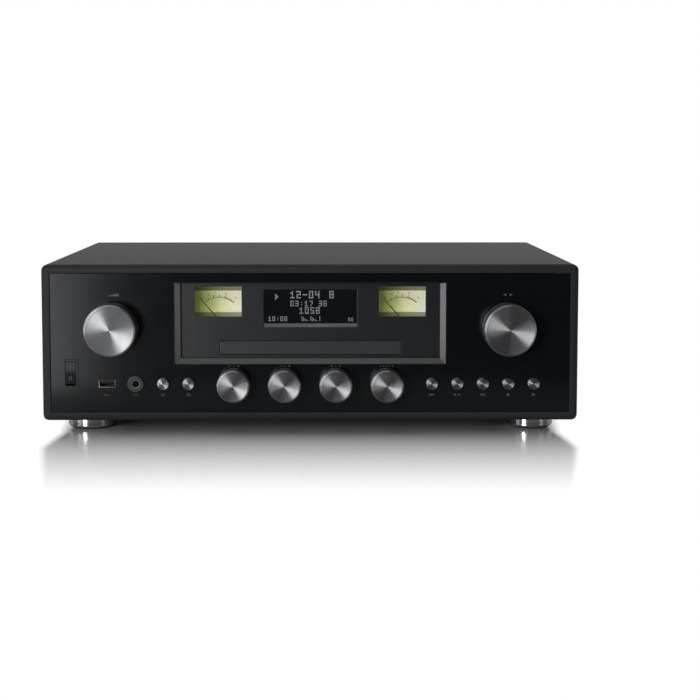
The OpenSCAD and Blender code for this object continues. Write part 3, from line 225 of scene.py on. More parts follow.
def softened(node, width=edge_break, rounds=2):
    """A copy of a CAD solid, its triangles joined up and its sharp edges broken by a narrow round."""
    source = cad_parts[node].data
    mesh = bpy.data.meshes.new(node + "_softened")
    mesh.from_pydata([v.co for v in source.vertices], [], [tuple(f.vertices) for f in source.polygons])
    form = bmesh.new()
    form.from_mesh(mesh)
    bmesh.ops.remove_doubles(form, verts=form.verts, dist=weld_gap)
    bmesh.ops.dissolve_limit(form, angle_limit=radians(flat_angle), verts=form.verts, edges=form.edges)
    form.to_mesh(mesh)
    form.free()
    for face in mesh.polygons:
        face.use_smooth = True
    mesh.set_sharp_from_angle(angle=radians(sharp_angle))
    holder = bpy.data.objects.new(mesh.name, mesh)
    tool = holder.modifiers.new("broken_edges", "BEVEL")
    tool.width, tool.segments, tool.limit_method = width * mm, rounds, "ANGLE"
    tool.angle_limit, tool.harden_normals = radians(sharp_angle), True
    return plain_mesh(holder)


def piece(name, mesh, slot, *finishes, body="cabinet", replaces=None):
    """A finished piece of the radio that rides on a body, instead of a CAD solid or beside them."""
    made = bpy.data.objects.new(name, mesh)
    scene.collection.objects.link(made)
    for each in finishes:
        mesh.materials.append(each)
    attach(made, body)
    if replaces:
        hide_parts(replaces)


def node_piece(name, node, slot, *finishes, width=edge_break, rounds=2, body="cabinet", part=None):
    """A finished piece in the shape of its CAD solid, with broken edges.
    Of several finishes, part picks a face's by its middle in mm: x, depth behind the rim, height."""
    mesh = softened(node, width, rounds)
    if part:
        for face in mesh.polygons:
            x, y, z = face.center
            face.material_index = int(part(x / mm, (y - front_y) / mm, z / mm))
    piece(name, mesh, slot, *finishes, body=body, replaces=node)


black_wrap = finish("black_wrap", (0.026, 0.028, 0.0295), 0.52, drift=0.08, grain=2600, relief=0.012, patchy=0.012,
                    Specular_IOR_Level=0.12)
node_piece("cabinet_cover_wrapped", "cabinet_cover", "cabinet_wrap", black_wrap)
node_piece("base_board_wrapped", "base_board", "cabinet_wrap", black_wrap)

# Corner blocks: planed softwood, glued into the cabinet's corners, that both panels are screwed to.
# They are sawn from one batten, so the grain runs upright.
grain_stretch, grain_scale = (1, 1, 0.06), 700.0


def dress(finished, *nodes):
    """A CAD piece whose shape is right gets its finish."""
    for node in nodes:
        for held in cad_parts[node].material_slots:
            held.material = finished


def coloured(made, factor, dark, light):
    """The finish's colour runs between two colours by a factor."""
    tree = made.node_tree
    run = mixed(tree, factor, (*dark, 1), (*light, 1))
    tree.links.new(run, tree.nodes["Principled BSDF"].inputs["Base Color"])


planed_wood = finish("planed_wood", (0.5, 0.36, 0.22), 0.62, grain=900, relief=0.05)
tree = planed_wood.node_tree
upright = joined(tree, "ShaderNodeMapping", on_object(tree), None, None, grain_stretch)
years = joined(tree, "ShaderNodeTexNoise", upright, None, grain_scale, 3.0)
coloured(planed_wood, years, (0.42, 0.27, 0.14), (0.68, 0.52, 0.33))
dress(planed_wood, "corner_blocks")

# Feet: four turned and polished metal feet with a ring groove, screwed up into the bottom board.
# Each stands on a round rubber pad with a moulded ring.
turn_steps, turn_sharp, ring_scale, ring_relief = 96, 28, 9.0, 0.004
foot_profile = [(2.1, 9.5), (2.1, 6.5), (5.5, 6.5), (5.5, 1.5), (17.6, 1.5), (19, 2.9), (19, 4.4), (18.5, 4.7),
                (18.5, 5.3), (19, 5.6), (19, 8.7), (18.2, 9.5), (2.1, 9.5)]
pad_profile = [(5.5, 1.5), (5.5, 0.3), (5.9, 0), (9, 0), (9.4, 0.4), (11, 0.4), (11.4, 0), (15.6, 0), (16, 0.4),
               (16, 1.5), (5.5, 1.5)]
foot_spots = [(side * 180, depth, 0) for side in (-1, 1) for depth in (32, 258)]


def turned(name, profile, centre=(0, 0, 0), along="Z", steps=turn_steps):
    """A turned body: (radius, length) pairs in mm, spun about an axis; u runs round it, v along it in mm."""
    side, up, axis, centre = Vector((1, 0, 0)), Vector((0, 1, 0)), Vector((0, 0, 1)), Vector(centre)
    if along == "Y":
        up, axis = axis, up
    form = bmesh.new()
    uv = form.loops.layers.uv.new("UVMap")
    rings, run = [], [0.0]
    spokes = [side * cos(2 * pi * k / steps) + up * sin(2 * pi * k / steps) for k in range(steps)]
    for radius, length in profile:
        rings.append([form.verts.new(centre + mm * (axis * length + radius * spoke))
                      for spoke in (spokes if radius > 1e-6 else spokes[:1])])
    for (r0, l0), (r1, l1) in zip(profile, profile[1:]):
        run.append(run[-1] + ((r1 - r0) ** 2 + (l1 - l0) ** 2) ** 0.5)
    for low, high, v0, v1 in zip(rings, rings[1:], run, run[1:]):
        for k in range(steps):
            n = (k + 1) % steps
            lower = [(low[k], k, v0), (low[n], k + 1, v0)] if len(low) > 1 else [(low[0], k + 0.5, v0)]
            upper = [(high[n], k + 1, v1), (high[k], k, v1)] if len(high) > 1 else [(high[0], k + 0.5, v1)]
            if len(lower + upper) > 2:
                face = form.faces.new([corner[0] for corner in lower + upper])
                face.smooth = True
                for loop, corner in zip(face.loops, lower + upper):
                    loop[uv].uv = (corner[1] / steps, corner[2])
    bmesh.ops.remove_doubles(form, verts=form.verts, dist=1e-7)
    bmesh.ops.recalc_face_normals(form, faces=form.faces)
    mesh = meshed(name, form)
    mesh.set_sharp_from_angle(angle=radians(turn_sharp))
    return mesh


def named_tree(name, *inputs):
    """An empty geometry tree with named inputs, then a piece and a finish."""
    made = bpy.data.node_groups.new(name, "GeometryNodeTree")
    made.interface.new_socket("Geometry", in_out="OUTPUT", socket_type="NodeSocketGeometry")
    for label, kind in (*inputs, ("Piece", "Object"), ("Finish", "Material")):
        made.interface.new_socket(label, in_out="INPUT", socket_type="NodeSocket" + kind)
    return made, made.nodes.new("NodeGroupInput").outputs, made.nodes.new("NodeGroupOutput").inputs


def ended(made, points, turn, given, out):
    """Puts the named piece on every point, makes it real geometry and gives it its finish."""
    sample = joined(made, "GeometryNodeObjectInfo", given["Piece"], out="Geometry")
    copies = joined(made, "GeometryNodeInstanceOnPoints", points, None, sample, None, None, turn)
    real = joined(made, "GeometryNodeRealizeInstances", copies)
    coated = joined(made, "GeometryNodeSetMaterial", real, None, given["Finish"])
    made.links.new(coated, out["Geometry"])


def grown(name, tree, host, pattern, **inputs):
    """The plain mesh that a geometry tree makes from its host, a pattern and its named inputs."""
    sample = bpy.data.objects.new(name + "_pattern", pattern)
    scene.collection.objects.link(sample)
    inputs["Piece"] = sample
    holder = bpy.data.objects.new(name, host)
    maker = holder.modifiers.new(name, "NODES")
    maker.node_group = tree
    for item in tree.interface.items_tree:
        if item.in_out == "INPUT" and item.name in inputs:
            maker[item.identifier] = inputs[item.name]
    mesh = plain_mesh(holder)
    mesh.materials.clear()
    mesh.materials.append(inputs["Finish"])
    bpy.data.objects.remove(sample)
    return mesh


spot_tree, given, out = named_tree("pieces_at_spots", ("Spots", "Geometry"))
ended(spot_tree, given["Spots"], None, given, out)


def at_spots(name, pattern, spots, finished):
    """One mesh with the pattern at each spot, given in mm as (x, depth behind the rim, height)."""
    host = bpy.data.meshes.new(name)
    host.from_pydata([(x * mm, front_y + depth * mm, z * mm) for x, depth, z in spots], [], [])
    return grown(name, spot_tree, host, pattern, Finish=finished)


def spun(name, colour, rough, stretch):
    """Turned metal: fine rings follow the lathe's cut and the gloss is drawn out across them."""
    made = finish(name, colour, rough, drift=0.05, relief=ring_relief, patchy=0.03, Metallic=1.0, Anisotropic=stretch)
    tree = made.node_tree
    shader = tree.nodes["Principled BSDF"]
    lathe = joined(tree, "ShaderNodeTangent", direction_type="UV_MAP", uv_map="UVMap")
    tree.links.new(lathe, shader.inputs["Tangent"])
    shader.inputs["Anisotropic Rotation"].default_value = 0.25
    cut = parts_of(tree, joined(tree, "ShaderNodeUVMap", uv_map="UVMap"))
    rings = joined(tree, "ShaderNodeTexNoise", None, cut["Y"], ring_scale, 3.0, noise_dimensions="1D")
    bump = next(node for node in tree.nodes if node.type == "BUMP")
    tree.links.new(rings, bump.inputs["Height"])
    return made


foot_metal = spun("polished_foot", (0.6, 0.61, 0.62), 0.16, 0.3)
pad_rubber = finish("pad_rubber", (0.018, 0.018, 0.018), 0.78, grain=1500, relief=0.05)
foot_mesh = at_spots("feet_turned", turned("foot", foot_profile), foot_spots, foot_metal)
piece("feet_turned", foot_mesh, "foot_metal", replaces="feet")
pad_mesh = at_spots("foot_pads_moulded", turned("pad", pad_profile), foot_spots, pad_rubber)
piece("foot_pads_moulded", pad_mesh, "pad_rubber", replaces="foot_pads")

# Front panel: a satin black plate let into the cabinet's rim, cut out for the window and the controls.
# Small grey symbols are printed beside the controls; the ink lies on the surface.
panel_face, print_thickness, print_sink = 0.8, 0.04, 0.02
above_large, above_small, below_button = 26.6, 14.2, -9.0
satin_black = finish("satin_black_panel", (0.0025, 0.0045, 0.006), 0.16, drift=0.08, grain=2200, relief=0.002,
                     patchy=0.012, Specular_IOR_Level=0.45)
node_piece("front_panel_satin", "front_panel", "panel_black", satin_black, width=0.25)


def bar(x, z, wide, tall):
    """A printed bar, by its centre."""
    left, right, low, high = x - wide / 2, x + wide / 2, z - tall / 2, z + tall / 2
    return [(left, low), (right, low), (right, high), (left, high)]


def arrow(x, z, wide, tall):
    """A printed triangle that points right, or left where its width is below zero."""
    return [(x - wide / 2, z - tall / 2), (x + wide / 2, z), (x - wide / 2, z + tall / 2)]


def arc_band(x, z, radius, wide, first, last, steps=24):
    """A printed band along an arc; angles in degrees, clockwise from the top."""
    angles = [radians(first + (last - first) * k / steps) for k in range(steps + 1)]
    outer, inner = ([(x + edge * sin(a), z + edge * cos(a)) for a in angles]
                    for edge in (radius + wide / 2, radius - wide / 2))
    return [[outer[k], outer[k + 1], inner[k + 1], inner[k]] for k in range(steps)]


def printed(name, shapes, face, thick=print_thickness):
    """Flat shapes of ink on a face at that depth, seen from the front; corners are (x, z) in mm.
    Where two shapes share a side there is no wall between them."""
    form = bmesh.new()
    shapes = [[(round(x, 4), round(z, 4)) for x, z in corners] for corners in shapes]
    sides = [{a, b} for corners in shapes for a, b in zip(corners, corners[1:] + corners[:1])]
    for corners in shapes:
        rows = [[form.verts.new((x * mm, front_y + depth * mm, z * mm)) for x, z in corners]
                for depth in (face - thick, face + print_sink)]
        form.faces.new(rows[0])
        form.faces.new(rows[1][::-1])
        for k in range(len(corners)):
            if sides.count({corners[k - 1], corners[k]}) == 1:
                form.faces.new((rows[0][k - 1], rows[1][k - 1], rows[1][k], rows[0][k]))
    bmesh.ops.remove_doubles(form, verts=form.verts, dist=1e-7)
    bmesh.ops.recalc_face_normals(form, faces=form.faces)
    return meshed(name, form)


def middle(node, up=0):
    """Centre of a CAD piece seen from the front, or a point so far above it, in mm."""
    low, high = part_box(node)
    return (low.x + high.x) / 2 / mm, (low.z + high.z) / 2 / mm + up


tone_signs = [bar(-3.6, 0, 1.5, 0.4), bar(0, 0, 0.4, 1.3), bar(3.6, 0, 1.5, 0.4)]
tone_signs += [bar(3.6, s * 0.475, 0.4, 0.55) for s in (-1, 1)]
skip_back, skip_on = ([bar(s * 2.0, 0, 0.4, 2)] + [arrow(k * 0.9, 0, s * 1.6, 2) for k in (-1, 1)] for s in (-1, 1))
front_signs = {
    above_large: {
        "volume_knob": [[(-5, -1), (5, -1), (5, 1.2)]],
        "tuning_knob": [arrow(s * 2.6, 0, s * 2.6, 2.2) for s in (-1, 1)]},
    above_small: {
        "bass_knob": tone_signs,
        "treble_knob": tone_signs,
        "balance_knob": [bar(0, 0, 0.4, 1.3)] + [arrow(s * 3.6, 0, s * 1.5, 1.3) for s in (-1, 1)],
        "source_knob": [bar(k * 2.4, 0, 0.8, 0.8) for k in (-2, -1, 0, 1, 2)]},
    below_button: {
        "mode_button": arc_band(0, 0, 1.1, 0.35, 0, 360),
        "menu_button": [bar(0, k * 0.9, 3.2, 0.35) for k in (-1, 0, 1)],
        "previous_button": skip_back,
        "play_button": [arrow(-1.4, 0, 2, 2.2), bar(0.7, 0, 0.5, 2), bar(1.7, 0, 0.5, 2)],
        "next_button": skip_on,
        "stop_button": [bar(0, 0, 2, 2)],
        "eject_button": [[(-1.5, -0.1), (1.5, -0.1), (0, 1.3)], bar(0, -0.8, 3, 0.5)],
        "headphone_socket": arc_band(0, -0.3, 1.3, 0.3, -90, 90) + [bar(s * 1.3, -0.5, 0.6, 1) for s in (-1, 1)],
        "usb_socket": [bar(0, 0, 4.2, 0.3), arrow(2.2, 0, 0.9, 0.9), bar(-2.1, 0, 0.7, 0.7)]}}
marks = []
for up, group in front_signs.items():
    for node, shapes in group.items():
        x, z = middle(node, up)
        marks += [[(x + right, z + high) for right, high in corners] for corners in shapes]
grey_ink = finish("grey_ink", (0.085, 0.09, 0.095), 0.6, grain=3000, relief=0.004)
piece("front_symbols", printed("front_symbols", marks, panel_face), "panel_black", grey_ink)

# Window: a moulded bezel with sloping sides, clipped into the front panel, and behind it a smoked plate.
# The plate is cut out for two meters, a display and the tray; clear panes are let into it.
bezel_black = finish("bezel_black", (0.014, 0.015, 0.017), 0.24, drift=0.08, grain=2600, relief=0.003, patchy=0.015,
                     Specular_IOR_Level=0.7)
smoked = finish("smoked_plate", (0.007, 0.0095, 0.0107), 0.265, drift=0.05, grain=2400, relief=0.001, patchy=0.004,
                Specular_IOR_Level=1.0)
pane_clear = finish("clear_pane", (0.96, 0.97, 0.97), 0.03, drift=0.01, relief=0.0005, patchy=0.01,
                    Transmission_Weight=1.0, IOR=1.3)
node_piece("window_bezel_moulded", "window_bezel", "bezel_black", bezel_black, width=0.18, rounds=3)
node_piece("window_plate_smoked", "window_panel", "window_smoke", smoked, width=0.3)
node_piece("window_panes_clear", "window_panes", "pane_clear", pane_clear, width=0.12)

# Meters: two moulded cans behind the panes, each with a printed card that glows itself in place of the lamp behind it.
# The card's light is weak at the left and strong at the lower right; painted shade darkens its top and bottom edges,
# and this light and shade are painted into the card's colour as well as its glow. Scale and figures are printed on it.
card_strength, card_gold = 0.48, (0.42, 0.43, 0.17)
card_glow = ((0.10, (0.17, 0.195, 0.04)), (0.86, (0.80, 0.79, 0.58)), (0.36, card_gold), (0.55, (0.66, 0.65, 0.36)))
# Glow up the card by height; the dim rows at its bottom and top edges are painted shade.
card_rows_with_edge_shade = ((0.245, 0.36), (0.262, 1.12), (0.6, 0.9), (0.81, 0.98), (0.825, 0.26))
needle_pivot = {"needle_left": -73.9, "needle_right": 73.9}
pivot_depth, pivot_height, scale_radius, figure_radius, figure_size = 13.4, 90.15, 17.6, 21.7, 2.5
scale_start, scale_red, scale_end, card_face = -42, 16, 42, 15.8
can_black = finish("can_black", (0.02, 0.02, 0.021), 0.55, grain=1500, relief=0.02)
dress(can_black, "meter_cans")


def ramp(tree, factor, steps):
    """A colour ramp from (place, colour) steps, of which the first two are its ends."""
    node = tree.nodes.new("ShaderNodeValToRGB")
    tree.links.new(factor, node.inputs["Fac"])
    stops = node.color_ramp.elements
    for number, (place, colour) in enumerate(steps):
        stop = stops[number] if number < 2 else stops.new(place)
        stop.position, stop.color = place, (*colour, 1)
    return node.outputs["Color"]


lit_card = finish("lit_card", card_gold, 0.7, grain=2500, relief=0.004)
tree = lit_card.node_tree
card_uv = joined(tree, "ShaderNodeUVMap", uv_map="UVMap")
card_place = parts_of(tree, card_uv)
patch = joined(tree, "ShaderNodeTexNoise", card_uv, None, 3.0, 2.0)
sway = maths(tree, "MULTIPLY_ADD", patch, 0.22, -0.11)
sideways = ramp(tree, maths(tree, "ADD", card_place["X"], sway), card_glow)
glow_rows_with_edge_shade = ramp(tree, card_place["Y"], [(place, (level,) * 3) for place, level in card_rows_with_edge_shade])
card_glow_with_edge_shade = mixed(tree, 1.0, sideways, glow_rows_with_edge_shade, "MULTIPLY")
card_shader = tree.nodes["Principled BSDF"]
# The glow, with its painted edge shade, is painted into the card's colour too.
for socket in ("Emission Color", "Base Color"):
    tree.links.new(card_glow_with_edge_shade, card_shader.inputs[socket])
card_shader.inputs["Emission Strength"].default_value = card_strength

card_mesh = softened("meter_dials", 0.1)
card_low, card_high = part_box("meter_dials")
card_wide = card_high.x - needle_pivot["needle_right"] * mm
layer = card_mesh.uv_layers.new(name="UVMap")
for loop, held in zip(card_mesh.loops, layer.data):
    corner = card_mesh.vertices[loop.vertex_index].co
    off = corner.x - mm * needle_pivot["needle_right" if corner.x > 0 else "needle_left"]
    held.uv = (off / card_wide / 2 + 0.5, (corner.z - card_low.z) / (card_high.z - card_low.z))
piece("meter_cards_lit", card_mesh, "dial_card", lit_card, replaces="meter_dials")

arc_tree, given, out = named_tree(
    "pieces_on_an_arc", ("Count", "Int"), ("Radius", "Float"), ("First", "Float"), ("Step", "Float"),
    ("Centre", "Vector"))
line = joined(arc_tree, "GeometryNodeMeshLine", given["Count"])
order = arc_tree.nodes.new("GeometryNodeInputIndex").outputs[0]
lean = maths(arc_tree, "MULTIPLY_ADD", order, given["Step"], given["First"])
across = maths(arc_tree, "MULTIPLY", maths(arc_tree, "SINE", lean), given["Radius"])
above = maths(arc_tree, "MULTIPLY", maths(arc_tree, "COSINE", lean), given["Radius"])
round_place = vectors(arc_tree, "ADD", joined(arc_tree, "ShaderNodeCombineXYZ", across, 0.0, above), given["Centre"])
ring_points = joined(arc_tree, "GeometryNodeSetPosition", line, None, round_place)
ended(arc_tree, ring_points, joined(arc_tree, "ShaderNodeCombineXYZ", 0.0, lean, 0.0), given, out)


def on_arc(name, pattern, count, radius, first, last, centre, finished):
    """One mesh with the pattern repeated along an upright arc; angles in degrees, clockwise from the top."""
    x, depth, z = centre
    return grown(name, arc_tree, bpy.data.meshes.new(name), pattern, Count=count, Radius=radius * mm,
                 First=radians(first), Step=radians((last - first) / (count - 1)),
                 Centre=(x * mm, front_y + depth * mm, z * mm), Finish=finished)


def fused(name, *meshes):
    """Several meshes as one, with the finishes they carry."""
    form = bmesh.new()
    finishes = []
    for mesh in meshes:
        first = len(form.faces)
        form.from_mesh(mesh)
        form.faces.ensure_lookup_table()
        held = list(mesh.materials) or [None]
        for face in form.faces[first:]:
            finished = held[min(face.material_index, len(held) - 1)]
            if finished not in finishes:
                finishes.append(finished)
            face.material_index = finishes.index(finished)
    made = meshed(name, form)
    for finished in filter(None, finishes):
        made.materials.append(finished)
    return made


def figures(text, x, z, depth, finished):
    """Upright figures in relief, centred on a point, as a mesh that faces the front."""
    curve = bpy.data.curves.new("figures", "FONT")
    curve.body, curve.size, curve.align_x, curve.align_y = text, figure_size, "CENTER", "CENTER"
    curve.extrude = print_thickness / 2
    mesh = plain_mesh(bpy.data.objects.new("figures", curve))
    mesh.transform(Matrix.Translation((x * mm, front_y + depth * mm, z * mm)) @ Matrix.Rotation(radians(90), 4, "X")
                   @ Matrix.Scale(mm, 4))
    mesh.materials.clear()
    mesh.materials.append(finished)
    return mesh


def stroke(wide, tall, deep=print_thickness):
    """One printed stroke, or a bar where it is deep, about the origin."""
    form = bmesh.new()
    bmesh.ops.create_cube(form, size=1)
    bmesh.ops.scale(form, verts=form.verts, vec=(wide * mm, deep * mm, tall * mm))
    return meshed("stroke", form)


scale_ink = finish("scale_ink", (0.045, 0.04, 0.025), 0.7, grain=3000, relief=0.003)
red_ink = finish("red_ink", (0.42, 0.035, 0.02), 0.6, grain=3000, relief=0.003)
ink_face = card_face - print_thickness / 2
scale_parts = []
for pivot_x in needle_pivot.values():
    pivot = (pivot_x, ink_face, pivot_height)
    for first, last, radius, wide, ink in ((scale_start, scale_red, scale_radius, 0.35, scale_ink),
                                           (scale_red, scale_end, scale_radius + 0.2, 0.75, red_ink)):
        band = printed("scale_arc", arc_band(pivot_x, pivot_height, radius, wide, first, last), card_face)
        band.materials.append(ink)
        scale_parts.append(band)
    for wide, tall, count, off, last in ((0.22, 1.5, 13, 0.9, scale_end), (0.4, 2.4, 5, 1.3, scale_red)):
        scale_parts.append(on_arc("strokes", stroke(wide, tall), count, scale_radius + off, scale_start, last, pivot,
                                  scale_ink))
    for text, angle in (("20", -40), ("10", -24), ("5", -8), ("0", scale_red), ("3", 38)):
        right, up = figure_radius * sin(radians(angle)), figure_radius * cos(radians(angle))
        scale_parts.append(figures(text, pivot_x + right, pivot_height + up, ink_face,
                                   red_ink if angle >= scale_red else scale_ink))
piece("meter_scales", fused("meter_scales", *scale_parts), "dial_card")

# Needles: a tapered blade with a short tail on a round hub, one on the pin of each meter.
# They are light black mouldings, and lean to the left at rest.
blade = [(-0.5, -4.5), (0.5, -4.5), (0.5, 2), (0.2, 22.4), (-0.2, 22.4), (-0.5, 2)]
hub_profile = [(0.8, 0), (1.9, 0), (2, 0.15), (2, 1.25), (1.9, 1.4), (0.8, 1.4), (0.8, 0)]
blade_back, blade_thick = 0.45, 0.4
needle_black = finish("needle_black", (0.012, 0.012, 0.012), 0.5, grain=2600, relief=0.004)
for body, pivot_x in needle_pivot.items():
    blade_mesh = printed("blade", [blade], blade_back, blade_thick)
    blade_mesh.transform(Matrix.Translation((0, -front_y, 0)))
    needle = fused(body + "_blade", turned("hub", hub_profile, along="Y", steps=48), blade_mesh)
    needle.transform(Matrix.Translation((pivot_x * mm, front_y + pivot_depth * mm, pivot_height * mm))
                     @ Matrix.Rotation(radians(scale_start), 4, "Y"))
    piece(body + "_blade", needle, "needle_black", needle_black, body=body, replaces="meter_" + body)

# Display: a dark glass screen in a moulded housing, with figures made of small lit dots.
# A pale strip runs along its lower edge; figures and signs are only a time and a track.
dot_share, dot_size, dot_lift = 0.72, 0.56, 0.02
strip_up, strip_tall, strip_thick = 1.9, 3.0, 0.03
dot_rows = {"0": "75557", "1": "26227", "2": "71747", "3": "71717", "4": "55711", "5": "74717", "6": "74757",
            "7": "71122", "8": "75757", "9": "75717", ":": "02020", " ": "00000", "-": "00700"}
dress(can_black, "display_module")


def glowing(name, colour, strength, rough=0.5):
    """A lit finish with a slight unevenness."""
    made = finish(name, colour, rough, drift=0.15, relief=0.001, patchy=0.02)
    shader = made.node_tree.nodes["Principled BSDF"]
    source = shader.inputs["Base Color"].links[0].from_socket
    made.node_tree.links.new(source, shader.inputs["Emission Color"])
    shader.inputs["Emission Strength"].default_value = strength
    return made


# The screen's faint glow of its own is painted light, standing in for the lamp light that the pane in front keeps off
# it.
dark_glass = glowing("dark_glass", (0.009, 0.0135, 0.0175), 0.4, 0.12)
node_piece("display_screen_dark", "display_screen", "display_face", dark_glass, width=0.15)
screen_low, screen_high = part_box("display_screen")
screen_base, screen_top, screen_wide = screen_low.z / mm, screen_high.z / mm, screen_high.x * 2 / mm
screen_face = (screen_low.y - front_y) / mm
dot_depth = screen_face - dot_lift


def dotted(text, x, z, pitch):
    """Places of the lit dots of a row of figures, from its upper left corner."""
    spots = []
    for place, sign in enumerate(text):
        for row, bits in enumerate(dot_rows[sign]):
            spots += [(x + (place * 4 + column) * pitch, dot_depth, z - row * pitch)
                      for column in range(3) if int(bits) >> (2 - column) & 1]
    return spots


pale_dots = glowing("pale_dots", (0.30, 0.34, 0.35), 0.42)
pale_strip = glowing("pale_strip", (0.066, 0.078, 0.083), 0.68)
lit = []
for sign_row, x, down, pitch in (("12-04", -15.6, 1.9, 1.25), ("8", 15.8, 1.9, 1.25), ("03:17 36", -15.6, 9.6, 0.95),
                                 ("1058", -8.3, 15.0, 1.1), ("10:08", -33.4, 22.2, 0.8), ("96", 30.6, 23.2, 0.6)):
    dot = stroke(pitch * dot_share, pitch * dot_share)
    lit.append(at_spots("row", dot, dotted(sign_row, x, screen_top - down, pitch), pale_dots))
level_dots = [(-8 + k * 1.2, dot_depth, screen_top - 25.4 + j * 0.8) for k in range(14) for j in range((k * 5) % 6)]
play_dots = [(-28 + k * 0.7, dot_depth, screen_top - 6 + j * 0.7) for k in range(4) for j in range(k - 3, 4 - k)]
lit.append(at_spots("signs", stroke(dot_size, dot_size), level_dots + play_dots, pale_dots))
piece("display_dots", fused("display_dots", *lit), "display_face")
strip_bar = bar(0, screen_base + strip_up, screen_wide - 0.6, strip_tall)
strip = printed("display_strip", [strip_bar], screen_face, strip_thick)
piece("display_strip", strip, "display_face", pale_strip)

# Control board: a green glass-fibre board upright behind the panel, with the controls soldered to it.
# Pressed metal control bodies stand on it for the knobs, and small black switches for the buttons.
mask_green, track_green = (0.008, 0.05, 0.021, 1), (0.022, 0.12, 0.048, 1)
track_gap, track_run, track_pitch = 0.35 * mm, 17 * mm, 1.7 * mm
board_green = finish("board_green", (0.012, 0.07, 0.03), 0.38, drift=0.3, grain=700, relief=0.03, Coat_Weight=0.2)
tree = board_green.node_tree
sides = parts_of(tree, on_object(tree))
laid = joined(tree, "ShaderNodeCombineXYZ", sides["X"], maths(tree, "ADD", sides["Y"], sides["Z"]), 0.0)
tracks = joined(tree, "ShaderNodeTexBrick", laid, track_green, mask_green, mask_green, 1.0, track_gap, 0.1, 0.0,
                track_run, track_pitch)
tree.links.new(tracks, tree.nodes["Principled BSDF"].inputs["Base Color"])


def metal(name, colour, rough, relief=0.004, grain=1500, patchy=0.06):
    """A smooth metal that isn't turned."""
    return finish(name, colour, rough, grain=grain, relief=relief, patchy=patchy, Metallic=1.0)


pressed_steel = metal("pressed_steel", (0.55, 0.56, 0.57), 0.34, 0.01, 1200)
switch_black = finish("switch_black", (0.015, 0.015, 0.016), 0.5)
dress(board_green, "control_board")
dress(pressed_steel, "control_pots")
dress(switch_black, "tact_switches")

# Knobs: turned aluminium with a dished, finely ringed face inside a bright rim, pushed on their shafts.
# The two large ones are volume and tuning; a short line cut in the rim shows the setting.
bore, bore_end, dish, shaft_radius = 3.05, 4, 0.4, 3
large_radius, large_length, small_radius, small_length = 20.5, 20, 13, 16
side_slope, side_start, notch_in, notch_wide, notch_long = 0.6, 1.25, 1.8, 0.5, 1.2
spun_metal = spun("spun_metal", (0.35, 0.355, 0.365), 0.40, 0.97)
# The knobs' sides are a darker copy of the face's metal: painted shade, where shade falls on them.
side_metal = spun("side_metal", (0.17, 0.175, 0.18), 0.38, 0.5)
ground_steel = spun("ground_steel", (0.58, 0.58, 0.59), 0.25, 0.4)


def eased(points, radius, steps=4):
    """A profile with its inner corners rounded."""
    made = [points[0]]
    for a, b, c in zip(points, points[1:], points[2:]):
        a, b, c = Vector(a), Vector(b), Vector(c)
        reach = min(radius, (a - b).length / 2.01, (c - b).length / 2.01)
        start, end = b + (a - b).normalized() * reach, b + (c - b).normalized() * reach
        made += [tuple(start * (1 - t) ** 2 + b * 2 * t * (1 - t) + end * t * t)
                 for t in (k / steps for k in range(steps + 1))]
    return made + [points[-1]]


def knob_profile(radius, length):
    """Half section of a knob from the middle of its face to its bore."""
    rim = [(0, dish), (1, dish), (radius - 2.4, dish), (radius - 2.3, 0.05), (radius - 1.2, 0), (radius, 1.2),
           (radius, length - 4), (radius - 0.35, length - 3.7), (radius - 0.35, length - 3.1), (radius, length - 2.8),
           (radius, length - 0.5), (radius - 0.5, length), (5, length)]
    return eased(rim, 0.12, 3) + [(5, length - 2), (bore, length - 2), (bore, bore_end), (0, bore_end)]


def front_centre(node):
    """Middle of a CAD piece's front, and the piece's length behind it in mm."""
    low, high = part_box(node)
    return Vector(((low.x + high.x) / 2, low.y, (low.z + high.z) / 2)), (high.y - low.y) / mm


def knob(node, body, radius, length, shaft):
    """One turned knob, with its shaft where the shaft turns with it."""
    face, reach = front_centre(node)
    cap = turned("cap", knob_profile(radius, length), face, "Y", 128)
    for finished in (spun_metal, side_metal):
        cap.materials.append(finished)
    for facet in cap.polygons:
        facet.material_index = int(abs(facet.normal.y) < side_slope and facet.center.y > face.y + side_start * mm)
    notch = printed("notch", [bar(0, radius - notch_in, notch_wide, notch_long)], print_sink, print_sink)
    notch.transform(Matrix.Translation(face - Vector((0, front_y, 0))))
    notch.materials.append(needle_black)
    meshes = [cap, notch]
    if shaft:
        start = bore_end + 0.3
        rod = turned("rod", eased([(0, start), (shaft_radius, start), (shaft_radius, reach), (0, reach)], 0.3, 2),
                     face, "Y", 48)
        rod.materials.append(ground_steel)
        meshes.insert(1, rod)
    piece(node + "_turned", fused(node, *meshes), "knob_metal", body=body, replaces=node)


knob("volume_knob", "volume", large_radius, large_length, True)
knob("tuning_knob", "tuning", large_radius, large_length, False)
for body in ("bass", "treble", "balance", "source"):
    knob(body + "_knob", body, small_radius, small_length, True)
dress(pressed_steel, "tuning_shaft")

# Push buttons: seven turned caps in the panel's holes, each with a flange behind the panel.
# The face is lightly domed and ringed by the lathe; a stem works the switch on the board.
cap_metal = spun("cap_metal", (0.30, 0.305, 0.315), 0.40, 0.97)
for body in ("mode", "menu", "previous", "play", "next", "stop", "eject"):
    node = body + "_button"
    face, end = front_centre(node)
    cap = eased([(0, 0), (0.6, 0), (4.3, 0), (4.75, 0.45), (4.75, 7), (5.95, 7), (5.95, 8.2), (2, 8.2), (2, end),
                 (0, end)], 0.15, 3)
    piece(node + "_turned", turned(body, cap, face, "Y", 72), "button_metal", cap_metal, body=body,
          replaces=node)

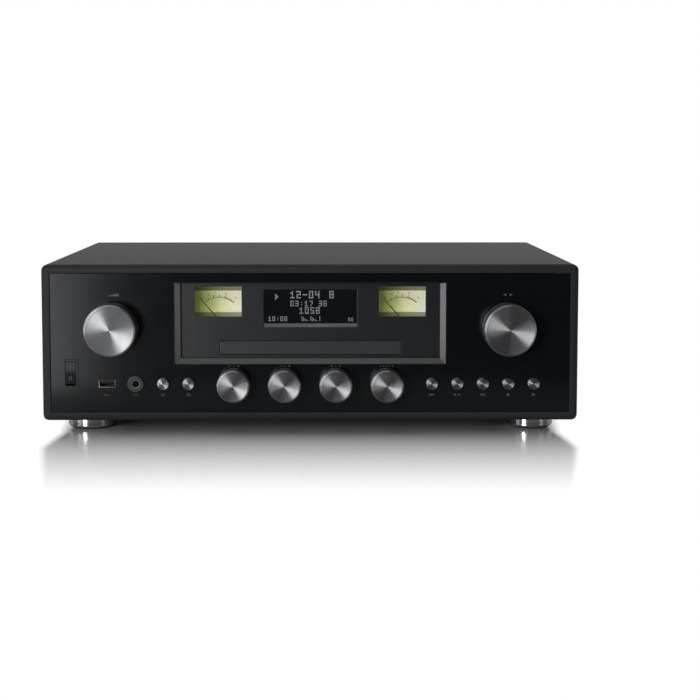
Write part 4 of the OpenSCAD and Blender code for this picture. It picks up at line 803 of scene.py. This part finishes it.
# Power switch: a gloss black rocker on two pins in a moulded frame that is clipped into the panel.
# A line and a ring on the rocker show on and off.
rocker_depth, rocker_lean, half_lean, half_out, half_up = 4.5, radians(-7), radians(8.94), 4.8, 4.45
gloss_black = finish("gloss_black", (0.004, 0.0055, 0.0065), 0.17, drift=0.08, grain=2600, relief=0.002, patchy=0.015,
                     Specular_IOR_Level=0.45)
node_piece("power_frame_moulded", "power_switch_frame", "switch_gloss", gloss_black, width=0.25)
node_piece("power_rocker_moulded", "power_rocker", "switch_gloss", gloss_black, width=0.35, rounds=3, body="rocker")
x, z = middle("power_switch_frame")
pin = Matrix.Translation((x * mm, front_y + rocker_depth * mm, z * mm)) @ Matrix.Rotation(rocker_lean, 4, "X")
on_line = printed("on_line", [bar(0, 0, 0.45, 2.6)], 0)
off_ring = printed("off_ring", arc_band(0, 0, 1.2, 0.45, 0, 360), 0)
for sign, up in ((on_line, 1), (off_ring, -1)):
    sign.transform(pin @ Matrix.Translation((0, -half_out * mm, up * half_up * mm))
                   @ Matrix.Rotation(up * half_lean, 4, "X") @ Matrix.Translation((0, -front_y, 0)))
signs = fused("power_rocker_signs", on_line, off_ring)
piece("power_rocker_signs", signs, "switch_gloss", grey_ink, body="rocker")

# Front sockets: a headphone socket with a dark plated nut, and a plated data socket with a black tongue.
# A nickel sleeve lines the headphone hole; four gilt contacts lie under the tongue.
sleeve = [(3.22, 0.35), (3.05, 0.35), (2.95, 0.5), (2.95, 22), (3.22, 22), (3.22, 0.35)]
tongue_half, tongue_top = 5.6, 2.1
contact_wide, contact_tall, contact_long, contact_depth, contact_pitch = 1.1, 0.12, 4.8, 6.5, 2.2
nickel = metal("nickel", (0.62, 0.61, 0.58), 0.32)
black_nickel = metal("black_nickel", (0.085, 0.09, 0.095), 0.28)
gilt = metal("gilt", (0.72, 0.52, 0.2), 0.25, 0.003)
node_piece("headphone_nut", "headphone_socket", "socket_black", gloss_black, black_nickel, width=0.3, rounds=3,
           part=lambda x, depth, z: depth < panel_face)
sleeve_mesh = turned("headphone_sleeve", sleeve, front_centre("headphone_socket")[0], "Y", 72)
piece("headphone_sleeve", sleeve_mesh, "usb_steel", nickel)
data_x, data_z = middle("usb_socket")
node_piece("data_socket_plated", "usb_socket", "usb_steel", nickel, gloss_black, width=0.1,
           part=lambda x, depth, z: abs(x - data_x) < tongue_half and 0 < z - data_z < tongue_top)
contact_spots = [(data_x + k * contact_pitch, contact_depth, data_z + contact_tall / 2)
                 for k in (-1.5, -0.5, 0.5, 1.5)]
contacts = at_spots("data_contacts", stroke(contact_wide, contact_tall, contact_long), contact_spots, gilt)
piece("data_contacts", contacts, "usb_steel")

# Disc drive: a moulded chassis on four legs carries the tray, its gears and the belt drive.
# A steel frame on a hinge holds the turntable, the rods and the pickup; a steel bridge holds the clamp.
lens_height = 2.2
chassis_black = finish("chassis_black", (0.022, 0.022, 0.023), 0.58, grain=1300, relief=0.02)
tray_black = finish("tray_black", (0.016, 0.016, 0.017), 0.50, relief=0.012)
tray_front_black = finish("tray_front_black", (0.036, 0.0415, 0.044), 0.3, drift=0.08, grain=2400, relief=0.004,
                          patchy=0.015)
nylon = finish("nylon", (0.78, 0.76, 0.69), 0.45, drift=0.05, grain=1500, relief=0.008, Subsurface_Weight=0.1)
chrome = metal("chrome", (0.78, 0.78, 0.8), 0.1, 0.002, patchy=0.02)
motor_steel = metal("motor_steel", (0.5, 0.5, 0.52), 0.3, 0.006)
belt_rubber = finish("belt_rubber", (0.02, 0.02, 0.02), 0.7, grain=2200, relief=0.02)
lens_blue = finish("lens_blue", (0.03, 0.045, 0.12), 0.06, drift=0.1, relief=0.0005, patchy=0.01, Coat_Weight=1.0)
node_piece("disc_tray_moulded", "disc_tray", "tray_plastic", tray_black, width=0.35, body="tray")
node_piece("tray_front_moulded", "tray_front", "tray_front_black", tray_front_black, width=0.5, rounds=3, body="tray")
lens_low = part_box("pickup_sled")[1].z / mm - lens_height
node_piece("pickup_sled_moulded", "pickup_sled", "sled_black", switch_black, lens_blue, width=0.2, body="sled",
           part=lambda x, depth, z: z > lens_low)
dress(chassis_black, "loader_chassis")
dress(pressed_steel, "clamp_bridge", "traverse_frame")
dress(motor_steel, "traverse_motors", "loading_motor")
dress(chrome, "guide_rods")
dress(tray_black, "turntable")
dress(nylon, "disc_clamper", "feed_gear", "pulley_gear", "tray_gear")
dress(nickel, "motor_pulley")
dress(belt_rubber, "loading_belt")

# Amplifier: the main board on spacers, with its capacitors, screened tuner and chips, and a finned heat sink.
# The ring transformer is wound with copper wire, taped over and held down by a steel dish and a bolt.
board_top, chip_tall, cap_top, cap_depth = 24.1, 4, 54.1, 100
tape_turns, dish_low = 44, 54.5
cap_sleeve = finish("cap_sleeve", (0.012, 0.016, 0.05), 0.35, relief=0.006)


def board_part(x, depth, z):
    """Finish of a face of the main board: 0 the board, 1 steel, 2 a capacitor's sleeve, 3 a chip."""
    if z > cap_top - 0.05 or (depth > cap_depth and z > board_top + chip_tall):
        return 1
    return (2 if depth < cap_depth else 3) if z > board_top + 0.05 else 0


node_piece("main_board_fitted", "main_board", "circuit_board", board_green, pressed_steel, cap_sleeve, switch_black,
           width=0.25, part=board_part)
winding = finish("winding", (0.28, 0.13, 0.04), 0.42, grain=600, relief=0.04, Coat_Weight=0.3)
tree = winding.node_tree
ring_low, ring_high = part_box("transformer")
ring_middle = ((ring_low.x + ring_high.x) / 2, (ring_low.y + ring_high.y) / 2, 0)
about = vectors(tree, "SUBTRACT", on_object(tree), ring_middle)
turn = joined(tree, "ShaderNodeTexGradient", about, out="Fac", gradient_type="RADIAL")
lap = maths(tree, "FRACT", maths(tree, "MULTIPLY", turn, tape_turns))
coloured(winding, lap, (0.17, 0.075, 0.022), (0.34, 0.17, 0.055))
node_piece("transformer_taped", "transformer", "winding", winding, pressed_steel, width=0.25,
           part=lambda x, depth, z: z > dish_low + 0.02)
sink_black = finish("sink_black", (0.03, 0.03, 0.032), 0.45, grain=1300, Metallic=0.6)
dress(sink_black, "heat_sink")

# Back: a painted steel plate with ventilation slots, held by six screws into the corner blocks.
# It carries the mains inlet, the line and aerial sockets and the speaker terminals.
rear_paint = finish("rear_paint", (0.016, 0.016, 0.0165), 0.55, grain=650, relief=0.06)
zinc = metal("zinc", (0.45, 0.45, 0.46), 0.32, 0.008)
red_plastic = finish("red_plastic", (0.42, 0.012, 0.012), 0.32, relief=0.006)
white_plastic = finish("white_plastic", (0.7, 0.7, 0.68), 0.36, drift=0.05, relief=0.006)
brass = metal("brass", (0.72, 0.53, 0.22), 0.25)
node_piece("rear_panel_painted", "rear_panel", "rear_paint", rear_paint, width=0.25)
dress(zinc, "case_screws")
rear_face, flange_face, line_back, post_end = (
    (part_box(node)[1].y - front_y) / mm for node in ("rear_panel", "mains_inlet", "line_sockets", "speaker_terminals"))

# Mains inlet: a black moulded socket with two nickel pins in a round-ended well.
# Its body goes through a cut-out in the plate, and its flange lies outside.
pin_off, pin_room, pin_start, pin_end = 4.3, 1.3, 11, 1.2
inlet_x, inlet_z = middle("mains_inlet")


def pin_part(x, depth, z):
    """Whether a face of the mains inlet lies on one of its pins."""
    beside, along = abs(abs(x - inlet_x) - pin_off), flange_face - depth
    return beside < pin_room and abs(z - inlet_z) < pin_room and pin_end < along < pin_start


node_piece("mains_inlet_moulded", "mains_inlet", "socket_black", gloss_black, nickel, width=0.3, part=pin_part)

# Line and aerial sockets: nickel-plated sleeves on black bodies that go through the plate, flanges outside.
# A plastic collar and an insulator, red or white, tell the two line channels apart.
line_x, line_z, line_half, line_end = 66, 48.5, 7, line_back - 0.5
collar = eased([(4.25, 0), (5.5, 0), (5.5, 0.9), (5.2, 1.2), (4.25, 1.2), (4.25, 0)], 0.15, 2)
insulator = eased([(1.65, -0.4), (1.65, 0.05), (3.2, 0.05), (3.4, -0.15), (3.4, -0.4), (1.65, -0.4)], 0.1, 2)
node_piece("line_sockets_plated", "line_sockets", "line_metal", gloss_black, nickel, width=0.2,
           part=lambda x, depth, z: depth > flange_face + 0.02)
for name, side, tint in (("line_rings_white", -1, white_plastic), ("line_rings_red", 1, red_plastic)):
    rings = [at_spots("rings", turned("ring", profile, along="Y", steps=48),
                      [(line_x + side * line_half, depth, line_z + up * line_half) for up in (-1, 1)], tint)
             for profile, depth in ((collar, flange_face), (insulator, line_end))]
    piece(name, fused("line_rings", *rings), "line_metal")

# Speaker terminals: two pairs of ribbed plastic caps, red and black, on one body through the plate.
# Its flange lies outside; each cap has a brass sleeve for a plug in its end.
post_x, post_z, post_pitch, post_radius = 138, 46.5, 19, 6.5
rib_count, rib_side, rib_long, rib_sink, rib_middle = 24, 0.7, 7.2, 0.12, 5.4
plug_sleeve = [(2.03, -0.3), (1.95, -0.3), (1.85, -0.5), (1.85, -11), (2.03, -11), (2.03, -0.3)]
posts = [(post_x + (number - 1.5) * post_pitch, number % 2) for number in range(4)]
post_mesh = softened("speaker_terminals", 0.3)
for finished in (gloss_black, red_plastic):
    post_mesh.materials.append(finished)
for face in post_mesh.polygons:
    number = round((face.center.x / mm - post_x) / post_pitch + 1.5)
    face.material_index = int(face.center.y > front_y + (flange_face + 0.05) * mm and number % 2 == 1)
rib = stroke(rib_side, rib_side, rib_long)
grips = [on_arc("grip", rib, rib_count, post_radius - rib_sink, 0, 360 - 360 / rib_count,
                (x, post_end - rib_middle, post_z), red_plastic if red else gloss_black) for x, red in posts]
piece("speaker_posts_moulded", fused("speaker_posts", post_mesh, *grips), "terminal_black",
      replaces="speaker_terminals")
plug_sleeves = at_spots("plug_sleeves", turned("plug_sleeve", plug_sleeve, along="Y", steps=48),
                        [(x, post_end, post_z) for x, red in posts], brass)
piece("speaker_plug_sleeves", plug_sleeves, "terminal_black")

# Print on the back: thin pale frames round the sockets, with a sign for each kind.
# They are plus and minus, an arrow for the line, an aerial and a wave for the mains.
aerial_x, aerial_z = 20, line_z + 12
pale_ink = finish("pale_ink", (0.42, 0.42, 0.41), 0.6, grain=3000, relief=0.004)


def outline(x, z, wide, tall, line=0.5):
    """A printed frame, by its centre."""
    return ([bar(x, z + s * tall / 2, wide + line, line) for s in (-1, 1)]
            + [bar(x + s * wide / 2, z, line, tall - line) for s in (-1, 1)])


rear_marks = outline(post_x, post_z + 1.5, 84, 27) + outline(line_x, line_z + 2, 34, 38)
rear_marks += outline(inlet_x, inlet_z + 2.4, 38, 29)
for x, red in posts:
    rear_marks.append(bar(x, post_z + 11.7, 2.4, 0.5))
    rear_marks += [bar(x, post_z + 11.7 + s * 0.725, 0.5, 0.95) for s in (-1, 1) if red]
rear_marks += [arrow(line_x - 4, line_z + 17.4, 3, 2.6), bar(line_x - 7, line_z + 17.4, 3, 0.6)]
rear_marks.append(bar(aerial_x, aerial_z, 0.5, 4.6))
rear_marks += [[(aerial_x + s * out, aerial_z + up) for out, up in ((0.25, 0.3), (2.2, 2.3), (1.7, 2.3), (0.25, 0.9))]
               for s in (-1, 1)]
rear_marks += arc_band(inlet_x - 1.4, inlet_z + 13, 1.4, 0.5, -90, 90)
rear_marks += arc_band(inlet_x + 1.4, inlet_z + 13, 1.4, 0.5, 90, 270)
piece("rear_symbols", printed("rear_symbols", rear_marks, rear_face + 0.02), "rear_paint", pale_ink)
